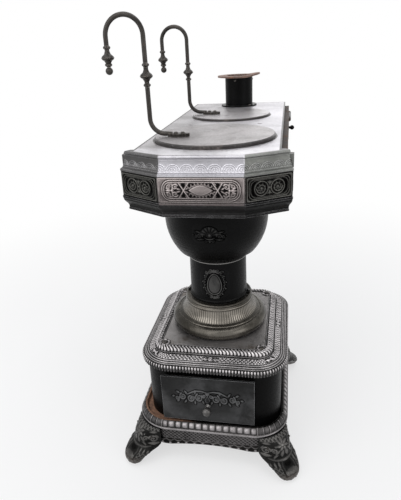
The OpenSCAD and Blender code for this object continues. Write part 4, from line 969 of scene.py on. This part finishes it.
def min_gap(s, places, total):
    """Signed run from the nearest of the places round a closed frame."""
    best = None
    for place in places:
        gap = (s - place + total / 2) % total - total / 2
        best = gap if best is None else np.where(np.abs(gap) < np.abs(best), gap, best)
    return best


def corner_rosettes():
    """A small flower round each tie rod's head on the base plate."""
    def petals(s, t):
        return 0.35 + 0.65 * np.sqrt(np.abs(np.sin(3 * s))) * smooth(t, 0, 2.5) \
            * smooth(7.6 - t, 0, 2.4)

    a = np.linspace(0, 2 * np.pi, 72, endpoint=False)
    for side_x, x in (("left", -120), ("right", 120)):
        for side_y, y in (("front", -136), ("rear", 136)):
            skin(f"{side_y}_{side_x}_rosette", around(a, a, x, y), [(7.6, 304), (15.2, 304)],
                 petals, 2.2, "skirt_relief", closed=True, step=0.7, base=0.0, depth=1.0)


# the drawer's right half: scrolls (x, y, r, start, turns), leaves (x, y, angle, length, bend)
DRAWER_SCROLLS = ((20, 1, 9.5, -60, 1.6), (41, 3, 8.5, 200, -1.6), (60, 0, 8.0, -60, 1.55),
                  (74, 4, 5.0, 200, -1.3), (8.5, -4, 4.6, 0, 1.2))
DRAWER_LEAVES = ((50, -6, -60, 9, 0.2), (51, 8, 60, 9, -0.2), (30, 9, 80, 8, 0.2),
                 (31, -7, -100, 8, -0.2), (68, -7, -40, 9, 0.3), (69, 8, 50, 8, -0.2),
                 (80, 0, 10, 7, 0.1), (12, 8, 110, 8, 0.2), (20, 1, 30, 8, 0.3),
                 (41, 3, 210, 7, 0.3), (60, 0, 20, 7, 0.3))


def drawer_scrolls(u, v):
    """Symmetrical rinceau; v runs down from its top edge."""
    c = Carving(u, (v - 21.0) / 1.28)
    stem = ((0, -11.5), (14, -14.5), (30, -14), (42, -9), (50, -5))
    for side in (-1, 1):
        c.stroke([(side * x, y) for x, y in stem], [1.3, 1.9, 2.1, 1.9, 1.1], 0.9)
        for x, y, r, start, turns in DRAWER_SCROLLS:
            c.scroll(side * x, y, r, start if side > 0 else 180 - start, turns * side, 2.1)
        for x, y, a, length, bend in DRAWER_LEAVES:
            c.leaf(side * x, y, a if side > 0 else 180 - a, length * 1.15, 2.7, bend * side, 0.85)
    for k in (-1, 0, 1):
        c.leaf(0, -4, -90 + 32 * k, 10, 2.2, 0, 0.95)
    return c.out


def drawer_reliefs():
    low, high = [Vector(((p.x - AXIS_X) / MM, (p.y - AXIS_Y) / MM, p.z / MM))
                 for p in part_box("drawer_front")]
    inset = 2.5
    middle, half = (low.x + high.x) / 2, (high.x - low.x) / 2 - inset
    top, bottom = high.z - inset, low.z + inset
    s = np.linspace(-half, half, int(half * 2 / 0.85))
    stations = np.stack([s + middle, 0 * s + low.y, 0 * s, 0 * s - 1, s], 1)

    def face(u, v):
        half_v = (top - bottom) / 2
        return bed(drawer_scrolls(u, v - (top - 219)), u, v - half_v, half, half_v, 3)

    skin("drawer_scrolls", stations, [(0, top), (0, bottom)], face, 1.9, "drawer_relief",
         "ash_drawer", step=0.85, base=0.3, depth=1.0, tone=shade_outlined)


def skirt():
    half_x, half_y, r = SKIRT
    inner = r - 15
    stations, total = frame_stations(*SKIRT, 1.8, shift=-SKIRT_SHIFT)
    corners = middles(*SKIRT)[1]
    tiles = 2 * round(total / 17.3 / 2)
    pitch = total / tiles
    lower = [(84, 103), (84.4, 101), (84, 98.6), (81.6, 97), (79.4, 95.6), (79, 86), (79, 66),
             (80.6, 62), (82.2, 58), (83, 54), (83, 50)]
    profile = [(inner - 30, 110.2), (inner - 3, 110.4), (inner - 1, 114.5), (inner + 0.4, 118),
               *arc(inner + 1, 104, 12, 15, range(75, -1, -5)), *lower]
    points, run = resample(profile, 1.4)

    def mark(x, z):
        return run[np.argmin(np.hypot(points[:, 0] - x, points[:, 1] - z))]

    tile_from, tile_to = mark(inner + 2, 118.4), mark(83, 104)
    bead, frieze_from, frieze_to = mark(84.4, 101), mark(79, 93.5), mark(79, 67)
    half_frieze = (frieze_to - frieze_from) / 2

    def carving(s, t):
        """Tiles, a cord, a netted frieze and swags with drops, from the top down."""
        gap = np.abs((s / pitch) % 1 - 0.5) * pitch
        pad = smooth(pitch / 2 - gap, 0.9, 2.4) * smooth(t, tile_from, tile_from + 2) \
            * smooth(tile_to - t, 1.2, 3.0)
        # painted light on the tiles: bright raised crowns on the straight runs, and round the
        # corners duller tiles with brighter seams, as the light falls there
        bend = 1 - smooth(np.abs(min_gap(s, corners, total)), 48, 66)
        crown = ridge(gap, pitch * 0.4) * ridge(t - (tile_from + tile_to) / 2, 6.5)
        boss = pad * (0.42 + 0.5 * crown * (1 - 0.8 * bend))
        seam = (0.45 + 0.45 * bend) * ridge(pitch / 2 - gap, 1.0) * (t > tile_from) * (t < tile_to)
        v = t - (frieze_from + frieze_to) / 2
        net = 0.62 * lattice(s, v, 10.6, 9.4, 0.22) * (np.abs(v) < half_frieze - 1)
        fest = (s / 21.0) % 1 - 0.5
        swag = ridge(t - (frieze_to + 8.0 - 5.0 * (2 * fest) ** 2), 1.7, 0.6) * (t > frieze_to)
        return most(boss, seam, ridge(t - tile_from + 1.6, 1.6, 0.45), ridge(t - bead, 3.2, 0.8),
                    net, ridge(np.abs(v) - half_frieze, 1.0, 0.6), swag,
                    dot(fest * 21.0, t, 0, run[-1] - 4.0, 4.2, 0.9))

    def rust(s, t):
        """Bare rust on the inner ledge, round the front left corner."""
        near = min_gap(s, [corners[3]], total)
        return smooth(tile_from + 0.5 - t, -2.5, 0.5) * smooth(150 - np.abs(near), 0, 60)

    back = [(77, 50), (73, 66), (73, 96), (63, 104), (inner - 34, 104), (inner - 34, 110)]
    obj = skin("cast_skirt", stations, profile, carving, 2.0, "skirt_relief", closed=True,
               step=1.4, base=0.0, section=back, rust=rust)
    # the shallow arches between the legs lift the lower edge
    mesh = obj.data
    co = np.zeros(len(mesh.vertices) * 3)
    mesh.vertices.foreach_get("co", co)
    co = co.reshape(-1, 3)
    x, y = (co[:, 0] - AXIS_X) / MM + SKIRT_SHIFT, (co[:, 1] - AXIS_Y) / MM
    across = np.where(np.abs(x) / half_x > np.abs(y) / half_y, y, x)
    arch_r, arch_drop = 606.0, 598
    lift = np.maximum(np.sqrt(arch_r ** 2 - np.minimum(np.abs(across), 200) ** 2) - arch_drop, 0)
    co[:, 2] += lift * np.clip((0.066 - co[:, 2]) / 0.016, 0, 1) * MM
    mesh.vertices.foreach_set("co", co.reshape(-1))
    mesh.update()
    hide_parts("skirt")


fascia()
pot_and_column()
column_ring()
base_reliefs()
corner_rosettes()
drawer_reliefs()
skirt()

# ---- legs

CORNER_X, CORNER_Y = SKIRT[0] - SKIRT[2], SKIRT[1] - SKIRT[2]
LEG_TURN = math.atan2(229 - CORNER_Y, 198 - CORNER_X)
# a leg's levels with its outer reach, inner reach, half width and the reach of its sides
LEG_FORM = np.array([
    (0, 142.4, 114.0, 17, 129), (3, 147.5, 110.0, 21, 131), (8, 150.4, 107.0, 26, 130),
    (15, 151.4, 103.5, 29, 127), (22, 149.5, 99.5, 31.5, 121), (28, 144.5, 96.5, 34.5, 115),
    (34, 137.0, 93.5, 38, 108), (40, 128.5, 90.0, 41.5, 100), (46, 121.0, 86.0, 46, 92.5),
    (52, 118.0, 81.0, 48.5, 88), (60, 116.0, 76.0, 48.5, 87), (70, 114.0, 76.0, 48.5, 87),
    (80, 109.5, 76.0, 48.0, 87), (88, 103.0, 76.0, 47.0, 86.5), (93, 96.0, 76.0, 46.0, 86),
    (96.6, 87.5, 76.0, 44.0, 85.5)])


def leg_carving(w, z):
    """Hatched top, curled flower, side volutes and leaves, a brow over a dark hollow, and a
    ribbed toe between two netted flanks; w is the side distance."""
    y = -z
    c = Carving(w, y)
    c.over(0.8 * (lattice(w, z, 8.4, 8.4, 0.24) * smooth(z, 88, 91)))
    for k in range(7):
        a = 360 / 7 * k - 90
        c.leaf(3.5 * math.cos(math.radians(a)), -81 + 3.5 * math.sin(math.radians(a)), a, 10.5,
               3.2, 0.35, 0.95)
    c.dot(0, -81, 4.0)
    for side, a in MIRROR:
        c.scroll(side * 33, -69, 9.5, a + 200 * side, 1.4 * side, 2.4)
        c.scroll(side * 19, -70, 6.0, a, -1.3 * side, 1.8)
        c.scroll(side * 19, -14, 5.0, a + 90, 1.3 * side, 1.7, 0.8)
        c.scroll(side * 7.5, -12, 4.6, 90, 1.2 * side, 1.5)
        c.scroll(side * 10, -27, 3.8, 90, -1.1 * side, 1.3, 0.85)
        for x, at_y, turn, length, width, bend, height in (
                (24, -57, 8, 23, 4.4, -0.15, 1.0), (24, -86, -12, 18, 3.4, 0.2, 0.85),
                (37, -80, 40, 12, 2.6, 0.2, 0.8), (12, -60, 30, 14, 2.6, 0.3, 0.8)):
            c.leaf(side * x, at_y, a + turn * side, length, width, bend * side, height)
        for x, at_y, turn, length, width, bend, height in (
                (2, -70, 24, 19, 4.2, 0.25, 0.95), (8, -72, 48, 17, 3.2, 0.3, 0.85),
                (3, -21, 30, 15, 3.0, 0.3, 0.85), (16, -46, 22, 12, 2.4, 0.2, 0.75),
                (24, -44.5, 22, 10, 2.4, 0.2, 0.75), (32, -43, 22, 8, 2.4, 0.2, 0.75)):
            c.leaf(side * x, at_y, 90 - turn * side, length, width, bend * side, height)
        c.stroke([(side * 10, -44), (side * 13.0, -37), (side * 12, -28), (side * 6, -23)],
                 [1.4, 2.0, 2.0, 1.4], 0.42)
        c.dot(side * 15, -80, 2.4, 0.8)
        c.dot(side * 42, -58, 2.2, 0.8)
        flank = lattice(w - side * 24, z, 8.0, 8.0, 0.24) * (np.abs(w) > 17)
        c.over(0.7 * (flank * smooth(z, 12, 15) * smooth(38 - z, 0, 3)))
    c.stroke([(-31, -50), (-20, -48), (0, -46.5), (20, -48), (31, -50)],
             [1.4, 2.4, 3.0, 2.4, 1.4], 0.6)
    for k in range(-4, 5):
        c.leaf(2.4 * k, -19, 90 - 11 * k, 17, 2.4, 0, 0.75)
        c.leaf(1.6 * k, -33, 90 - 8 * k, 15, 1.9, 0, 0.7)
    hollow = smooth(-oval(w, y + 39.5, 7.0, 3.5), -1.5, 3)
    return c.out * (1 - hollow) - 0.6 * hollow


def leg(name, sx, sy):
    levels = np.linspace(LEG_FORM[-1, 0], 0, 104)
    outer, inner, half, edge = (np.interp(levels, LEG_FORM[:, 0], LEG_FORM[:, k])
                                for k in (1, 2, 3, 4))
    t = np.sin(np.linspace(-1, 1, 107) * np.pi / 2)[None, :]
    z = levels[:, None]
    w = t * half[:, None]
    knee = smooth(z, 40, 56)
    round_share = np.clip(1 - np.abs(t) ** 2.3, 0, None) ** 0.5
    hug = 0.14 * (1 - np.abs(t) ** 10) + 0.86 * np.exp(-(np.abs(w) / 31.0) ** 2.8)
    outside = edge[:, None] + (outer - edge)[:, None] * (round_share * (1 - knee) + hug * knee)
    carved = leg_carving(w, z)
    lift = 2.4 * carved * smooth(1 - np.abs(t), 0.0, 0.05)
    slope = np.gradient(outside, axis=1) / np.maximum(np.gradient(w, axis=1), 1e-3)
    lean = 1 / np.sqrt(1 + slope ** 2)
    outside, w = outside + lift * lean, w - lift * slope * lean
    tb = np.linspace(1, -1, 31)[None, 1:-1]
    inside = edge[:, None] - (edge - inner)[:, None] * np.sqrt(1 - tb * tb)
    phi = np.concatenate([w, tb * half[:, None]], 1) / edge[:, None]
    radius = np.concatenate([outside, inside], 1)
    turn = math.atan2(sy * math.sin(LEG_TURN), sx * math.cos(LEG_TURN))
    x = sx * CORNER_X - SKIRT_SHIFT + radius * np.cos(phi + turn)
    y = sy * CORNER_Y + radius * np.sin(phi + turn)
    rings = np.stack([x, y, np.broadcast_to(z, radius.shape)], -1)
    plain = 0.24
    relief = np.concatenate([np.clip(plain + 0.76 * carved, 0.15, 1),
                             np.full(inside.shape, plain)], 1)
    obj = tube("cast_" + name, rings, "leg_relief", "stove", relief, backwards=True)
    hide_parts(name)


for sx, side in ((-1, "left"), (1, "right")):
    leg(f"front_{side}_leg", sx, -1)
    leg(f"rear_{side}_leg", sx, 1)


# ---- camera, light and floor

def camera():
    """The photograph's own standpoint, solved from the stove's edges."""
    yaw, pitch, roll = 0.1927, -0.4151, -0.0496
    forward = Vector((-math.sin(yaw) * math.cos(pitch), math.cos(yaw) * math.cos(pitch),
                      math.sin(pitch)))
    right = forward.cross(Vector((0, 0, 1))).normalized()
    up = right.cross(forward)
    side = math.cos(roll) * right + math.sin(roll) * up
    top = -math.sin(roll) * right + math.cos(roll) * up
    data = bpy.data.cameras.new("camera")
    data.sensor_width = 36.0
    data.lens = 33.84
    data.clip_start = 0.05
    cam = show("camera", data)
    turn = Matrix((side, top, -forward)).transposed().to_4x4()
    cam.matrix_world = Matrix.Translation(Vector(at((165.97, -1078.29, 981.73)))) @ turn
    bpy.context.scene.camera = cam


def area_light(name, spot, target, size, power):
    data = bpy.data.lights.new(name, "AREA")
    data.shape = "RECTANGLE"
    data.size, data.size_y = size
    data.energy = power
    lamp = show(name, data)
    lamp.location = spot
    lamp.rotation_euler = (Vector(target) - Vector(spot)).to_track_quat("-Z", "Y").to_euler()


def seen(tree):
    """1 for rays that show the background: straight, mirrored or through glass."""
    path = tree.nodes.new("ShaderNodeLightPath")
    total = path.outputs["Is Camera Ray"]
    for kind in ("Is Glossy Ray", "Is Transmission Ray"):
        add = tree.nodes.new("ShaderNodeMath")
        add.operation = "ADD"
        add.use_clamp = True
        tree.links.new(total, add.inputs[0])
        tree.links.new(path.outputs[kind], add.inputs[1])
        total = add.outputs[0]
    return total


def mix_shaders(tree, share, first, second):
    node = tree.nodes.new("ShaderNodeMixShader")
    for source, socket in zip((share, first, second), node.inputs):
        tree.links.new(source, socket)
    return node.outputs[0]


def studio():
    for lamp in (("overhead", (0.0, -0.1, 2.6), (0, 0, 0.5), (2.4, 2.4), 26),
                 ("key", (-1.6, -2.2, 2.0), (0, -0.1, 0.5), (3.0, 3.0), 34),
                 ("fill", (2.2, -1.6, 1.1), (0, 0, 0.5), (1.4, 1.8), 12),
                 ("back", (0.6, 2.6, 1.7), (0, 0, 0.6), (2.0, 1.4), 6)):
        area_light(*lamp)
    world = bpy.data.worlds.new("studio")
    bpy.context.scene.world = world
    world.use_nodes = True
    tree = world.node_tree
    tree.nodes.clear()
    skies = []
    for color, strength in (((0.94, 0.96, 1.0, 1), 0.45), ((1, 1, 1, 1), 1.0)):
        sky = tree.nodes.new("ShaderNodeBackground")
        sky.inputs["Color"].default_value = color
        sky.inputs["Strength"].default_value = strength
        skies.append(sky.outputs[0])
    out = tree.nodes.new("ShaderNodeOutputWorld")
    tree.links.new(mix_shaders(tree, seen(tree), *skies), out.inputs[0])
    bpy.context.scene.view_settings.view_transform = "Standard"


def floor():
    mesh = bpy.data.meshes.new("floor")
    size = 9.0
    mesh.from_pydata([(-size, -size, 0), (size, -size, 0), (size, size, 0), (-size, size, 0)],
                     [], [(0, 1, 2, 3)])
    n = Nodes("floor")
    pale = n.new("ShaderNodeBsdfDiffuse",
                 Color=n.mix(n.noise(3.0), (0.86, 0.86, 0.865), (0.9, 0.9, 0.9)))
    glow = n.new("ShaderNodeEmission", Strength=1.0)
    dim = n.new("ShaderNodeBsdfDiffuse", Color=(0.45, 0.45, 0.45, 1))
    away = n.new("ShaderNodeVectorMath")
    away.operation = "LENGTH"
    n.put(away.inputs[0], n.coord)
    lit = mix_shaders(n.tree, n.ramp(away.outputs["Value"], 0.4, 2.0, 0.62, 1.0),
                      pale.outputs[0], glow.outputs[0])
    n.surface(mix_shaders(n.tree, seen(n.tree), dim.outputs[0], lit))
    mesh.materials.append(n.mat)
    show("floor", mesh)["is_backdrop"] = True


camera()
studio()
floor()

# ---- size and finish

def plain(box):
    return [[float(value) for value in corner] for corner in box]


{"cad": plain(CAD_BOX), "visual": plain(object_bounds())}
